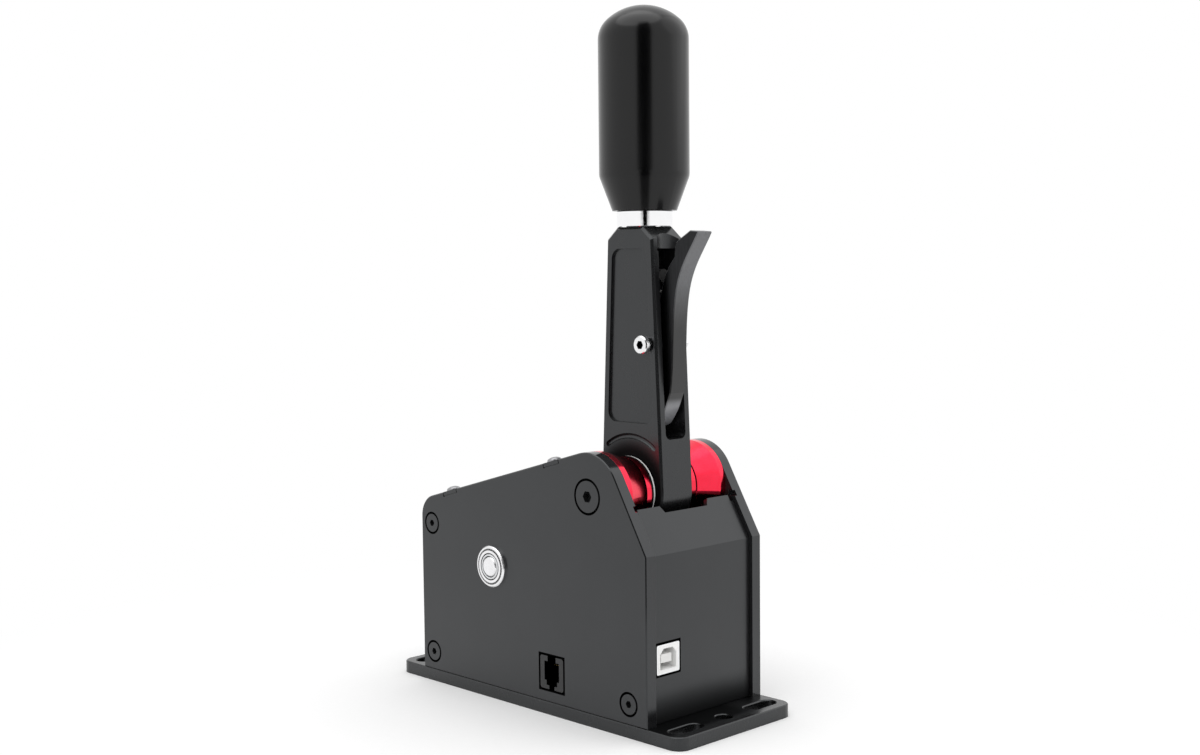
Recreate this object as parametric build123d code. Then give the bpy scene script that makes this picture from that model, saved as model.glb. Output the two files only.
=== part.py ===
"""A single-lever sequential shifter for a driving rig.

A base plate carries two side plates. A lever rocks on a shaft between them, and a rod below the shaft
slides between two springs that bring the lever back to its middle. A trigger sits in the lever's slot.
Lengths are in millimetres. +Z is up, +X is away from the driver, and the origin is the middle of the
base plate's underside.
"""
import math
import os

from build123d import *

# Turns used to lay shapes along an axis, in degrees
quarter_turn = 90
half_turn = 180
full_turn = 360

# Clearances and cuts
overrun = 1.0
running_gap = 0.05
thread_gap = 0.05
hole_gap = 0.2
head_gap = 0.15
coil_gap = 0.3
screw_land = 0.25
head_rim = 0.7
edge_break = 0.4

# Base plate
base_overhang = 16.0
base_width = 64.0
base_thickness = 5.0
base_corner_radius = 5.0
mount_inset = 7.4
mount_slot_length = 16.0
mount_slot_width = 6.5
mount_side_inset = 11.2
mount_hole_radius = 3.25

# Side plates
plate_length = 130.0
plate_thickness = 5.0
plate_front_slope = 60.0
plate_top_slope = 15.5
plate_crown_radius = 16.5
plate_rear_radius = 9.0
pivot_setback = 30.0
pivot_height = 86.75

# Countersunk and small screws: thread radius, head radius and length
pivot_screw_radius = 3.0
pivot_screw_head = 6.68
pivot_screw_length = 16.0
pivot_screw_flats = 4.0
side_screw_radius = 2.0
side_screw_head = 4.45
side_screw_length = 12.0
side_screw_flats = 2.5
base_screw_radius = 1.25
base_screw_head = 2.3
base_screw_length = 12.0
base_screw_flats = 1.5
base_screw_inset = 0.5
base_screw_end_inset = 15.0
board_screw_radius = 1.25
board_screw_head = 2.3
board_screw_head_height = 1.6
socket_depth_share = 0.6
dome_width_share = 0.62
dome_height_share = 0.8
thread_runout = 2.0

# Cross posts between the side plates
post_radius = 4.75
rear_post_gap = 0.6
front_post_gap = 0.95
low_post_gap = 2.8
high_post_gap = 4.77

# Covers
front_cover_thickness = 2.0
front_cover_recess = 1.6
front_cover_slope_recess = 1.7
front_cover_lift = 12.65
front_notch_depth = 2.4
lever_side_room = 2.85
front_notch_flare = 1.6
front_relief_width = 1.6
front_relief_depth = 2.2
corner_notch_width = 1.3
corner_notch_length = 3.0
corner_notch_drop = 0.4
corner_notch_rise = 1.7
cover_side_gap = 0.2
cover_foot_gap = 0.25
cover_seam_gap = 0.3
flange_height = 15.0
flange_foot = 1.0
flange_margin = 1.4
top_cover_thickness = 1.5
top_cover_front_gap = 12.6
top_cover_lever_room = 4.3
rear_cover_gap = 4.15
ear_length = 8.8
ear_gap = 0.4
ear_seam = 0.4
ear_screw_shift = 0.75
rear_ear_inset = 18.7
front_ear_setback = 19.95
ear_screw_radius = 1.5
ear_screw_head = 2.85
ear_screw_head_height = 1.65
ear_screw_length = 8.0
ear_screw_flats = 2.0
ear_screw_inset = 0.4

# Shaft, bearings and hubs
shaft_radius = 6.0
bearing_width = 5.0
bearing_inner_wall = 1.6
bearing_outer_wall = 1.6
bearing_race_gap = 1.3
ball_radius = 1.0
ball_count = 13
bearing_shoulder = 1.5
hub_flange_width = 3.2
hub_flange_thickness = 2.6
hub_groove_gap = 5.25
hub_groove_width = 0.5
hub_groove_depth = 0.9
hub_ring_gap = 2.25
hub_neck_radius = 10.0
hub_edge_break = 0.3
washer_inset = 0.1
washer_thickness = 0.75
washer_gap = 0.45
seal_inset = 0.5
seal_gap = 0.2

# Lever
lever_width = 17.5
lever_foot_inset = 0.2
lever_taper = 2.59
lever_head_rise = 44.1
lever_shoulder_drop = 4.5
lever_shoulder_depth = 5.3
lever_edge_chamfer = 0.9
panel_rise = 25.85
panel_drop = 8.0
panel_margin = 3.1
panel_depth = 1.0
panel_radius = 4.0
arch_radius = 20.8
arch_width = 2.1
arch_half_angle = 35.5
arch_depth = 0.8
slot_width = 11.0
slot_foot_gap = 4.675
slot_drop = 8.1
slot_floor_offset = 3.0
slot_corner_radius = 2.5
channel_radius = 8.5
channel_depth = 2.6

# Lower arm of the lever
arm_length = 43.0
arm_thickness = 9.8
arm_root_half = 11.0
arm_eye_radius = 7.0
lever_travel = 6.0

# Grip, collar and stud
collar_radius = 10.65
collar_height = 6.3
collar_edge_break = 0.4
grip_radius = 17.2
grip_foot_radius = 12.3
grip_taper_height = 13.1
grip_taper_round = 6.0
grip_height = 77.0
grip_crown_bulge = 3.5
grip_shoulder_round = 10.0
stud_radius = 4.0
stud_depth = 7.4
stud_reach = 32.0

# Trigger
trigger_boss_room = 0.6
trigger_pin_rise = 55.75
trigger_width = 8.0
trigger_reach = 22.5
trigger_rise = 41.5
trigger_boss_radius = 4.6
trigger_boss_gap = 0.2
trigger_edge_break = 0.4
trigger_travel = 7.0
trigger_pin_radius = 2.0
trigger_pin_head = 3.5
trigger_pin_head_height = 4.0
trigger_pin_flats = 3.0
trigger_seat_radius = 4.25
trigger_nut_flats = 7.0
trigger_nut_height = 3.2
trigger_spring_share = 0.434
trigger_spring_radius = 2.4
trigger_spring_wall = 0.5
trigger_spring_seat = 3.0
trigger_magnet_radius = 2.0
trigger_magnet_length = 2.0
trigger_magnet_share = -0.434
trigger_sensor_width = 9.0
trigger_sensor_height = 11.0
trigger_sensor_thickness = 1.6
trigger_chip_size = 3.0
trigger_chip_thickness = 0.8
trigger_pad_radius = 2.5
trigger_rest_pad_share = -0.665
trigger_limit_pad_share = 0.622
trigger_limit_gap = 1.1
trigger_pad_gap = 0.4

# The trigger's outline about its pin: shares of trigger_reach and of trigger_rise
trigger_front_shares = (
    (1.0, 1.0), (0.842, 0.865), (0.658, 0.704), (0.535, 0.54), (0.48, 0.398), (0.427, 0.0), (0.364, -0.441),
)
trigger_tail_shares = ((0.25, -0.581), (0.095, -0.705), (-0.04, -0.75), (-0.12, -0.7), (-0.12, -0.64))
trigger_back_shares = ((-0.04, -0.45), (-0.06, -0.2), (0.06, 0.2), (0.13, 0.4), (0.25, 0.615), (0.387, 0.733))
trigger_crown_shares = (
    (0.467, 0.786), (0.485, 0.875), (0.502, 0.916), (0.631, 0.961), (0.818, 1.019), (0.99, 1.01),
)

# Shift rod, fork and its pin
rod_radius = 4.0
rod_rear_reach = 6.0
fork_width = 18.4
fork_radius = 8.0
fork_slot_gap = 0.3
fork_bridge_gap = 9.0
fork_bridge_length = 6.0
fork_pin_radius = 3.0
fork_pin_slack = 0.5
fork_pin_overhang = 2.0
fork_nut_flats = 13.0
fork_nut_length = 4.0
clip_radius = 4.6
clip_thickness = 0.8
clip_gap = 0.3

# Spring blocks, bushes, collar, springs and stop sleeves on the rod
block_length = 9.0
block_side_gap = 13.5
block_rise = 12.0
block_corner = 4.0
block_front_setback = 24.0
block_rear_setback = 14.0
block_screw_inset = 4.5
block_screw_length = 16.0
bush_wall = 1.5
bush_flange_radius = 8.0
bush_flange_thickness = 1.5
collar_on_rod_radius = 9.0
collar_on_rod_length = 7.0
collar_screw_radius = 2.0
collar_screw_length = 4.6
spring_room = 0.8
spring_wire = 1.6
sleeve_wall = 1.3
stop_gap = 0.2
shift_magnet_radius = 2.5
shift_magnet_length = 3.0
shift_magnet_inset = 0.15

# Push button in the left plate
button_x = -19.8
button_height = 53.5
button_bezel_width = 1.6
button_bezel_gap = 0.15
button_bezel_proud = 1.3
button_notch_count = 40
button_notch_radius = 0.28
button_notch_inset = 0.31
button_rim_width = 1.5
button_thread_depth = 0.25
button_face_proud = 1.45
button_ring_width = 0.7
button_ring_gap = 0.35
button_ring_room = 0.4
button_ring_depth = 1.2
button_line = 0.15
button_cap_radius = 3.95
button_cap_proud = 1.75
button_cap_length = 3.4
button_bore_depth = 6.2
button_stem_radius = 1.5
button_stem_length = 4.0
button_spring_radius = 3.0
button_spring_wall = 0.6
button_room = 14.0
button_nut_flats = 15.0
button_nut_thickness = 2.5
button_pin_radius = 0.6
button_pin_length = 3.0
button_pin_offset = 2.5

# Boards
board_thickness = 1.6
board_rear_gap = 27.0
board_front_gap = 19.0
board_side_gap = 1.0
board_lift = 3.4
board_window_gap = 0.8
board_post_radius = 2.5
board_post_inset = 4.0
sensor_board_gap = 5.0
sensor_board_width = 16.0
sensor_gap = 3.75
sensor_post_radius = 2.0
sensor_post_inset = 2.5
sensor_chip_size = 4.0
sensor_chip_thickness = 1.4
chip_size = 10.0
chip_thickness = 1.4
chip_place_shares = ((-0.55, 1), (0.42, 1), (-0.5, -1))
small_part_size = 3.2
small_part_height = 1.8
small_place_shares = ((-0.1, 1), (0.05, 1), (0.2, 1), (-0.15, -1), (0.7, 1))

# Round-cornered modular socket in the left plate
modular_x = 14.4
modular_width = 12.8
modular_height = 12.9
modular_room = 0.5
modular_gap = 0.6
modular_corner = 1.0
modular_mouth_width = 8.2
modular_mouth_height = 7.4
modular_mouth_lift = 3.4
modular_back_wall = 4.0
modular_comb_width = 4.6
modular_latch_width = 6.0
modular_latch_height = 1.7
modular_key_width = 3.0
contact_radius = 0.25
contact_count = 6
contact_pitch = 1.02
contact_setback = 4.0
contact_drop = 2.2

# Square USB socket in the front cover
usb_side_inset = 7.9
usb_width = 12.0
usb_height = 10.95
usb_bottom = 23.25
usb_depth = 16.0
usb_proud = 0.2
usb_gap = 0.45
usb_corner = 0.6
usb_mouth_width = 8.5
usb_mouth_height = 7.8
usb_mouth_chamfer = 1.9
usb_mouth_depth = 9.5
usb_tongue_width = 5.6
usb_tongue_height = 3.2
usb_tongue_setback = 1.0
usb_board_length = 27.2
usb_board_gap = 0.4
usb_board_width = 13.0
usb_header_width = 3.0
usb_header_length = 2.5

# Places that follow from the sizes above
base_length = plate_length + base_overhang * 2
mount_slot_spacing = base_width - mount_side_inset * 2
half_base = base_width / 2
inner_half = half_base - plate_thickness
front_x = plate_length / 2
rear_x = -plate_length / 2
pivot_x = front_x - pivot_setback
pivot_z = pivot_height
plate_middle = half_base - plate_thickness / 2
base_screw_y = plate_middle - base_screw_inset
base_screw_spacing = front_x - base_screw_end_inset
ear_screw_y = plate_middle - ear_screw_inset
rear_post_inset = top_cover_thickness + rear_post_gap + post_radius
front_post_inset = front_cover_recess + front_cover_thickness + front_post_gap + post_radius
low_post_height = base_thickness + low_post_gap + post_radius
post_thread_depth = side_screw_length - plate_thickness + thread_runout
shaft_thread_depth = pivot_screw_length - plate_thickness + thread_runout
cover_half = inner_half - cover_side_gap
cover_foot = base_thickness + cover_foot_gap
front_face_x = front_x - front_cover_recess
half_lever = lever_width / 2
lever_foot_radius = plate_crown_radius - lever_foot_inset
lever_room = half_lever + lever_side_room
front_cover_top = pivot_z - lever_foot_radius + front_cover_lift
bearing_radius = shaft_radius + bearing_inner_wall + bearing_race_gap + bearing_outer_wall
hub_flange_radius = plate_crown_radius
hub_barrel_radius = hub_flange_radius - hub_flange_width
hub_barrel_end = half_lever + hub_groove_gap
hub_ring_end = half_lever + hub_ring_gap
washer_radius = hub_barrel_radius - washer_inset
seal_radius = washer_radius - seal_inset
trigger_pin_height = pivot_z + trigger_pin_rise
trigger_pin_x = pivot_x + slot_floor_offset + trigger_boss_radius + trigger_boss_room
trigger_foot = trigger_pin_height + trigger_rise * min(share[1] for share in trigger_tail_shares)
trigger_spring_height = trigger_pin_height + trigger_rise * trigger_spring_share
trigger_magnet_height = trigger_pin_height + trigger_rise * trigger_magnet_share
trigger_rest_pad_height = trigger_pin_height + trigger_rise * trigger_rest_pad_share
trigger_limit_pad_height = trigger_pin_height + trigger_rise * trigger_limit_pad_share
slot_floor_x = pivot_x + slot_floor_offset
slot_bottom = trigger_foot - slot_foot_gap
lever_top_height = trigger_pin_height + lever_head_rise
slot_top = lever_top_height - slot_drop
panel_bottom = pivot_z + panel_rise
panel_top = lever_top_height - panel_drop
panel_face = half_lever - panel_depth
grip_bottom = lever_top_height + collar_height
rod_z = pivot_z - arm_length
rod_stroke = arm_length * math.radians(lever_travel)
block_half_width = inner_half - block_side_gap
block_screw_offset = block_half_width - block_screw_inset
block_front_x = pivot_x - block_front_setback
block_inner_front = block_front_x - block_length
block_rear_x = rear_x + block_rear_setback
block_inner_rear = block_rear_x + block_length
spring_radius = rod_radius + coil_gap + sleeve_wall + spring_room + spring_wire
spring_front_end = block_inner_front - bush_flange_thickness
spring_rear_end = block_inner_rear + bush_flange_thickness
collar_x = (spring_front_end + spring_rear_end) / 2
collar_front = collar_x + collar_on_rod_length / 2
collar_rear = collar_x - collar_on_rod_length / 2
rod_rear_x = block_rear_x - rod_rear_reach
fork_bridge_front = pivot_x - fork_bridge_gap
fork_bridge_rear = fork_bridge_front - fork_bridge_length
button_ring_inner = button_cap_radius + button_ring_gap
button_ring_outer = button_ring_inner + button_ring_width
button_barrel_radius = button_ring_outer + button_rim_width
button_barrel_thread = button_barrel_radius - button_thread_depth
button_bezel_inner = button_barrel_radius + button_bezel_gap
button_bezel_radius = button_bezel_inner + button_bezel_width
button_body_length = half_base - button_room
board_rear = rear_x + board_rear_gap
board_front = front_x - board_front_gap
board_half_width = inner_half - board_side_gap
board_top = base_thickness + board_lift + board_thickness
board_strip_middle = (block_half_width + board_window_gap + board_half_width) / 2
sensor_board_length = block_inner_front - block_inner_rear - sensor_board_gap * 2
sensor_board_top = rod_z - collar_on_rod_radius - sensor_gap - sensor_chip_thickness
modular_depth = half_base - block_half_width - modular_room
modular_mouth_depth = modular_depth - modular_back_wall
contact_length = modular_mouth_depth - contact_setback
usb_y = usb_side_inset - inner_half
usb_board_top = usb_bottom
usb_board_bottom = usb_bottom - board_thickness
usb_board_front = front_face_x - front_cover_thickness - usb_board_gap
usb_board_rear = usb_board_front - usb_board_length
ear_places = (rear_x + rear_ear_inset, pivot_x - front_ear_setback)


def block(x_from, x_to, y_from, y_to, z_from, z_to):
    """A box between two corners."""
    middle = ((x_from + x_to) / 2, (y_from + y_to) / 2, (z_from + z_to) / 2)
    return Pos(*middle) * Box(x_to - x_from, y_to - y_from, z_to - z_from)


def bar_x(radius, x_from, x_to, y, z):
    """A round bar along X."""
    return Pos((x_from + x_to) / 2, y, z) * Rot(0, quarter_turn, 0) * Cylinder(radius, x_to - x_from)


def bar_y(radius, x, y_from, y_to, z):
    """A round bar along Y."""
    return Pos(x, (y_from + y_to) / 2, z) * Rot(quarter_turn, 0, 0) * Cylinder(radius, y_to - y_from)


def bar_z(radius, x, y, z_from, z_to):
    """A round bar along Z."""
    return Pos(x, y, (z_from + z_to) / 2) * Cylinder(radius, z_to - z_from)


def side_slab(face, y_from, y_to):
    """A face drawn in X and Z, made solid from y_from to y_to."""
    place = Plane((0, y_to, 0), x_dir=(1, 0, 0), z_dir=(0, -1, 0))
    return extrude(place * face, amount=y_to - y_from)


def front_slab(face, x_from, x_to):
    """A face drawn in Y and Z, made solid from x_from to x_to."""
    place = Plane((x_from, 0, 0), x_dir=(0, 1, 0), z_dir=(1, 0, 0))
    return extrude(place * face, amount=x_to - x_from)


def polygon(points):
    """A flat face with straight sides."""
    return make_face(Polyline(*points, close=True))


def turned(profile):
    """A solid turned about Z from points of radius and height."""
    face = Plane.XZ * polygon(profile)
    return revolve(face, Axis.Z, full_turn)


def ring_y(inner, outer, x, y_from, y_to, z):
    """A ring about a line along Y."""
    return bar_y(outer, x, y_from, y_to, z) - bar_y(inner, x, y_from - overrun, y_to + overrun, z)


def ring_x(inner, outer, x_from, x_to, y, z):
    """A ring about a line along X."""
    return bar_x(outer, x_from, x_to, y, z) - bar_x(inner, x_from - overrun, x_to + overrun, y, z)


def at_left(x, y, z):
    """A place whose own +Z points out of the left side."""
    return Pos(x, y, z) * Rot(quarter_turn, 0, 0)


def at_right(x, y, z):
    """A place whose own +Z points out of the right side."""
    return Pos(x, y, z) * Rot(-quarter_turn, 0, 0)


def outward(side, x, y, z):
    """A place on the left (side -1) or right (side 1) that looks outwards."""
    return at_left(x, -y, z) if side < 0 else at_right(x, y, z)


def hex_prism(flats, z_from, z_to):
    """A hexagonal prism along Z."""
    return Pos(0, 0, z_from) * extrude(RegularPolygon(flats / 2, 6, major_radius=False), amount=z_to - z_from)


def countersunk_screw(radius, head, length, flats):
    """A countersunk screw whose head's top is at zero and whose thread runs down."""
    rim = head - head_rim
    cone_end = -screw_land - (head - radius)
    profile = [
        (0, 0), (rim, 0), (rim, -screw_land - head_rim), (radius, cone_end), (radius, -length), (0, -length),
    ]
    body = turned(profile)
    return body - hex_prism(flats, cone_end * socket_depth_share - screw_land, overrun)


def countersink(radius, head, depth):
    """The hole that a countersunk screw needs."""
    wide = head + head_gap
    hole = radius + hole_gap
    cone_end = -screw_land - (wide - hole)
    profile = [
        (0, overrun), (wide, overrun), (wide, -screw_land),
        (hole, cone_end), (hole, -depth), (0, -depth),
    ]
    return turned(profile)


def domed_screw(radius, head, head_height, length, flats):
    """A button head screw that stands on zero and whose thread runs down."""
    shoulder = (head * dome_width_share, head_height * dome_height_share)
    crown = Spline((0, head_height), shoulder, (head, 0), tangents=((1, 0), (0, -1)))
    sides = Polyline((head, 0), (radius, 0), (radius, -length), (0, -length), (0, head_height))
    body = revolve(Plane.XZ * make_face([crown, sides]), Axis.Z, full_turn)
    return body - hex_prism(flats, head_height * (1 - socket_depth_share), head_height + overrun)


def hex_nut_on_x(flats, bore, x_from, x_to, y, z):
    """A hexagonal nut on a rod along X."""
    nut = Pos(x_from, y, z) * Rot(0, quarter_turn, 0) * hex_prism(flats, 0, x_to - x_from)
    return nut - bar_x(bore, x_from - overrun, x_to + overrun, y, z)


def on_top_slope(x, inset=0):
    """The height of the plates' top edge at x, or of a line that far below it."""
    normal = math.radians(quarter_turn + plate_top_slope)
    reach = plate_crown_radius - inset - (x - pivot_x) * math.cos(normal)
    return pivot_z + reach / math.sin(normal)


def front_slope_height(x, inset=0):
    """The height of the plates' front slope at x, or of a line that far behind it."""
    normal = math.radians(quarter_turn - plate_front_slope)
    return pivot_z + (plate_crown_radius - inset - (x - pivot_x) * math.cos(normal)) / math.sin(normal)


def front_slope_x(z, inset=0):
    """Where the plates' front slope, or a line behind it, is at height z."""
    normal = math.radians(quarter_turn - plate_front_slope)
    return pivot_x + (plate_crown_radius - inset - (z - pivot_z) * math.sin(normal)) / math.cos(normal)


def around_pivot(radius, angle):
    """A point on a circle about the pivot, in X and Z."""
    turn = math.radians(angle)
    return (pivot_x + radius * math.cos(turn), pivot_z + radius * math.sin(turn))


def slope_place(x, inset=0):
    """A place on the plates' top edge whose own X runs up the slope."""
    return Pos(x, 0, on_top_slope(x, inset)) * Rot(0, -plate_top_slope, 0)


def high_post_height():
    """The height of the upper rear post, which lies under the top cover."""
    inset = top_cover_thickness + high_post_gap + post_radius
    return on_top_slope(rear_x + rear_post_inset, inset)


def rear_cover_top():
    """The height of the rear cover's upper edge, below the upper post."""
    return high_post_height() - post_radius - rear_cover_gap


def side_screw_places():
    """The three small screws of each side plate, in X and Z."""
    return (
        (rear_x + rear_post_inset, high_post_height()),
        (rear_x + rear_post_inset, low_post_height),
        (front_x - front_post_inset, low_post_height),
    )


def socket_face():
    """The outline of the modular socket, in X and Z."""
    middle = (modular_x, board_top + modular_height / 2)
    return Pos(*middle) * RectangleRounded(modular_width, modular_height, modular_corner)


def modular_mouth():
    """The plug's way into the modular socket, in X and Z, with its comb and latch notches."""
    low = board_top + modular_mouth_lift
    high = low + modular_mouth_height
    top = board_top + modular_height
    mouth = Pos(modular_x, (low + high) / 2) * Rectangle(modular_mouth_width, modular_mouth_height)
    comb = Pos(modular_x, (high + top) / 2) * Rectangle(modular_comb_width, top - high + overrun)
    latch_low = low - modular_latch_height
    latch_height = modular_latch_height + edge_break
    latch = Pos(modular_x, (low + latch_low) / 2) * Rectangle(modular_latch_width, latch_height)
    key_height = latch_low - board_top + overrun
    key = Pos(modular_x, (latch_low + board_top) / 2) * Rectangle(modular_key_width, key_height)
    return mouth + comb + latch + key


def base_plate():
    """The flat plate that everything stands on, with its mounting slots."""
    outline = RectangleRounded(base_length, base_width, base_corner_radius)
    plate = extrude(outline, amount=base_thickness)
    mount_x = base_length / 2 - mount_inset
    slot_face = SlotOverall(mount_slot_length, mount_slot_width, rotation=quarter_turn)
    slot = extrude(slot_face, amount=base_thickness + overrun * 2)
    for x in (-mount_x, mount_x):
        for y in (-mount_slot_spacing / 2, mount_slot_spacing / 2):
            plate -= Pos(x, y, -overrun) * slot
        plate -= bar_z(mount_hole_radius, x, 0, -overrun, base_thickness + overrun)
    plate = chamfer(plate.faces().sort_by(Axis.Z)[-1].edges(), edge_break)
    for place, (radius, head, depth) in base_screw_places():
        plate -= place * countersink(radius, head, depth + overrun)
    for x, y in board_post_places():
        plate -= bar_z(board_screw_radius + thread_gap, x, y, base_thickness / 2, base_thickness + overrun)
    return plate


def base_screw_places():
    """Every countersunk screw that comes up through the base, with its hole."""
    places = []
    for x in (-base_screw_spacing, 0, base_screw_spacing):
        for y in (-base_screw_y, base_screw_y):
            hole = (base_screw_radius, base_screw_head, base_thickness)
            places.append((Pos(x, y, 0) * Rot(half_turn, 0, 0), hole))
    for x in block_middles():
        for y in (-block_screw_offset, block_screw_offset):
            hole = (side_screw_radius, side_screw_head, base_thickness)
            places.append((Pos(x, y, 0) * Rot(half_turn, 0, 0), hole))
    return places


def block_middles():
    """The middles of the two spring blocks along X."""
    return (block_front_x - block_length / 2, block_rear_x + block_length / 2)


def board_post_places():
    """The four posts under the control board."""
    xs = (board_rear + board_post_inset, board_front - board_post_inset)
    y = board_half_width - board_post_inset
    return [(x, side * y) for x in xs for side in (-1, 1)]


def plate_outline():
    """The side plates' outline in X and Z."""
    front_normal = quarter_turn - plate_front_slope
    top_normal = quarter_turn + plate_top_slope
    slope_top = around_pivot(plate_crown_radius, front_normal)
    crown_middle = around_pivot(plate_crown_radius, (front_normal + top_normal) / 2)
    crown_end = around_pivot(plate_crown_radius, top_normal)
    foot = base_thickness
    sides = Polyline(
        crown_end,
        (rear_x, on_top_slope(rear_x)),
        (rear_x, foot),
        (front_x, foot),
        (front_x, front_slope_height(front_x)),
        slope_top,
    )
    crown = ThreePointArc(slope_top, crown_middle, crown_end)
    face = make_face([sides, crown])
    corner = face.vertices().sort_by_distance((rear_x, on_top_slope(rear_x), 0))[0]
    return fillet(corner, plate_rear_radius)


def side_plate(side):
    """One side plate: side -1 is the left one, which holds the button and a socket."""
    if side < 0:
        y_from, y_to = -half_base, -inner_half
    else:
        y_from, y_to = inner_half, half_base
    plate = side_slab(plate_outline(), y_from, y_to)
    for face in (plate.faces().sort_by(Axis.Y)[0], plate.faces().sort_by(Axis.Y)[-1]):
        if abs(abs(face.center().Y) - half_base) < edge_break:
            plate = chamfer(face.edges(), edge_break)
    pivot_place = outward(side, pivot_x, half_base, pivot_z)
    plate -= pivot_place * countersink(pivot_screw_radius, pivot_screw_head, plate_thickness + overrun)
    for x, z in side_screw_places():
        hole = countersink(side_screw_radius, side_screw_head, plate_thickness + overrun)
        plate -= outward(side, x, half_base, z) * hole
    # The small notch beside the front cover's top corner
    slope_x = front_slope_x(front_cover_top)
    corner_ends = sorted((side * (inner_half - overrun), side * (inner_half + corner_notch_width)))
    plate -= block(slope_x - corner_notch_length, front_x, corner_ends[0], corner_ends[1],
                   front_cover_top - corner_notch_drop, front_cover_top + corner_notch_rise)
    ear_run = ear_length / math.cos(math.radians(plate_top_slope))
    for x in ear_places:
        notch = Box(ear_run, plate_thickness + overrun, top_cover_thickness * 2)
        plate -= slope_place(x) * Pos(0, side * plate_middle, 0) * notch
        seam = Box(ear_run, ear_seam * 2, ear_seam * 2)
        plate -= slope_place(x) * Pos(0, side * half_base, -top_cover_thickness) * seam
        thread = bar_z(ear_screw_radius + thread_gap, -ear_screw_shift, side * ear_screw_y,
                       -ear_screw_length - overrun, overrun)
        plate -= slope_place(x) * thread
    for x in (-base_screw_spacing, 0, base_screw_spacing):
        plate -= bar_z(base_screw_radius + thread_gap, x, side * base_screw_y, 0, base_screw_length + overrun)
    if side < 0:
        opening = Pos(modular_x, board_top + modular_height / 2) * RectangleRounded(
            modular_width + modular_gap * 2, modular_height + modular_gap * 2, modular_corner + modular_gap)
        plate -= side_slab(opening, -half_base - overrun, -inner_half + overrun)
        plate -= bar_y(button_barrel_radius + running_gap, button_x,
                       -half_base - overrun, -inner_half + overrun, button_height)
    return plate


def cross_post(x, z, end_gap):
    """A round post between the side plates, tapped at both ends."""
    half = inner_half - end_gap
    post = bar_y(post_radius, x, -half, half, z)
    for side in (-1, 1):
        ends = sorted((side * (half - post_thread_depth), side * (half + overrun)))
        post -= bar_y(side_screw_radius + thread_gap, x, ends[0], ends[1], z)
    return post


def flange(x_from, x_to, thickness):
    """The two small side flanges at a cover's foot, held by the lowest cross post."""
    z_from = cover_foot + flange_foot
    z_to = z_from + flange_height
    left = block(x_from, x_to, -cover_half, thickness - cover_half, z_from, z_to)
    right = block(x_from, x_to, cover_half - thickness, cover_half, z_from, z_to)
    return left, right


def front_cover():
    """The folded sheet between the plates at the front."""
    slope = front_cover_slope_recess
    deep = front_cover_thickness
    bend = (front_face_x, front_slope_height(front_face_x, slope))
    top = (front_slope_x(front_cover_top, slope), front_cover_top)
    normal = math.radians(quarter_turn - plate_front_slope)
    inner_top = (top[0] - deep * math.cos(normal), top[1] - deep * math.sin(normal))
    inner_x = front_face_x - deep
    inner_bend = (inner_x, front_slope_height(inner_x, slope + deep))
    face = polygon([(front_face_x, cover_foot), bend, top, inner_top, inner_bend, (inner_x, cover_foot)])
    sheet = side_slab(face, -cover_half, cover_half)
    # The notch and the two corner cuts are square to the slope, drawn from the middle of its top edge
    on_slope = Plane((top[0], 0, top[1]), x_dir=(0, 1, 0), z_dir=(math.cos(normal), 0, math.sin(normal)))
    notch_depth = front_notch_depth / math.cos(normal)
    widen = front_notch_flare / notch_depth
    rise_half = lever_room + front_notch_flare + widen * overrun
    notch = polygon([
        (-lever_room, -notch_depth), (lever_room, -notch_depth), (rise_half, overrun), (-rise_half, overrun),
    ])
    sheet -= extrude(on_slope * notch, amount=deep + overrun, both=True)
    for side in (-1, 1):
        y = side * (cover_half - front_relief_width / 2)
        relief = Pos(y, 0) * Rectangle(front_relief_width, front_relief_depth * 2 / math.cos(normal))
        sheet -= extrude(on_slope * relief, amount=deep + overrun, both=True)
    post_x = front_x - front_post_inset
    left, right = flange(post_x - post_radius - flange_margin, inner_x, deep)
    sheet += left
    sheet += right
    hole = side_screw_radius + hole_gap
    sheet -= bar_y(hole, post_x, -inner_half, inner_half, low_post_height)
    usb_hole = Pos(usb_y, usb_bottom + usb_height / 2) * RectangleRounded(
        usb_width + usb_gap * 2, usb_height + usb_gap * 2, usb_corner)
    sheet -= front_slab(usb_hole, inner_x - overrun, front_face_x + overrun)
    return sheet


def top_cover():
    """The folded sheet over the top and down the upper rear, with four ears on the plates."""
    deep = top_cover_thickness
    front_end = pivot_x - top_cover_front_gap
    low = rear_cover_top() + cover_seam_gap
    outer_corner = (rear_x, on_top_slope(rear_x))
    inner_corner = (rear_x + deep, on_top_slope(rear_x + deep, deep))
    face = polygon([
        (front_end, on_top_slope(front_end)),
        outer_corner,
        (rear_x, low),
        (rear_x + deep, low),
        inner_corner,
        (front_end, on_top_slope(front_end, deep)),
    ])
    outer = face.vertices().sort_by_distance((*outer_corner, 0))[0]
    face = fillet(outer, plate_rear_radius)
    inner = face.vertices().sort_by_distance((*inner_corner, 0))[0]
    face = fillet(inner, plate_rear_radius - deep)
    sheet = side_slab(face, -cover_half, cover_half)
    opening_end = pivot_x - lever_foot_radius - top_cover_lever_room
    sheet -= block(opening_end, front_end + overrun, -lever_room, lever_room,
                   on_top_slope(opening_end, deep) - overrun, lever_top_height)
    ear_run = ear_length / math.cos(math.radians(plate_top_slope)) - ear_gap * 2
    for x in ear_places:
        for side in (-1, 1):
            middle = side * (half_base + cover_half - overrun) / 2
            ear = Pos(0, middle, -deep / 2) * Box(ear_run, half_base - cover_half + overrun, deep)
            sheet += slope_place(x) * ear
            hole = bar_z(ear_screw_radius + hole_gap, -ear_screw_shift, side * ear_screw_y,
                         -deep - overrun, overrun)
            sheet -= slope_place(x) * hole
    return sheet


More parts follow.
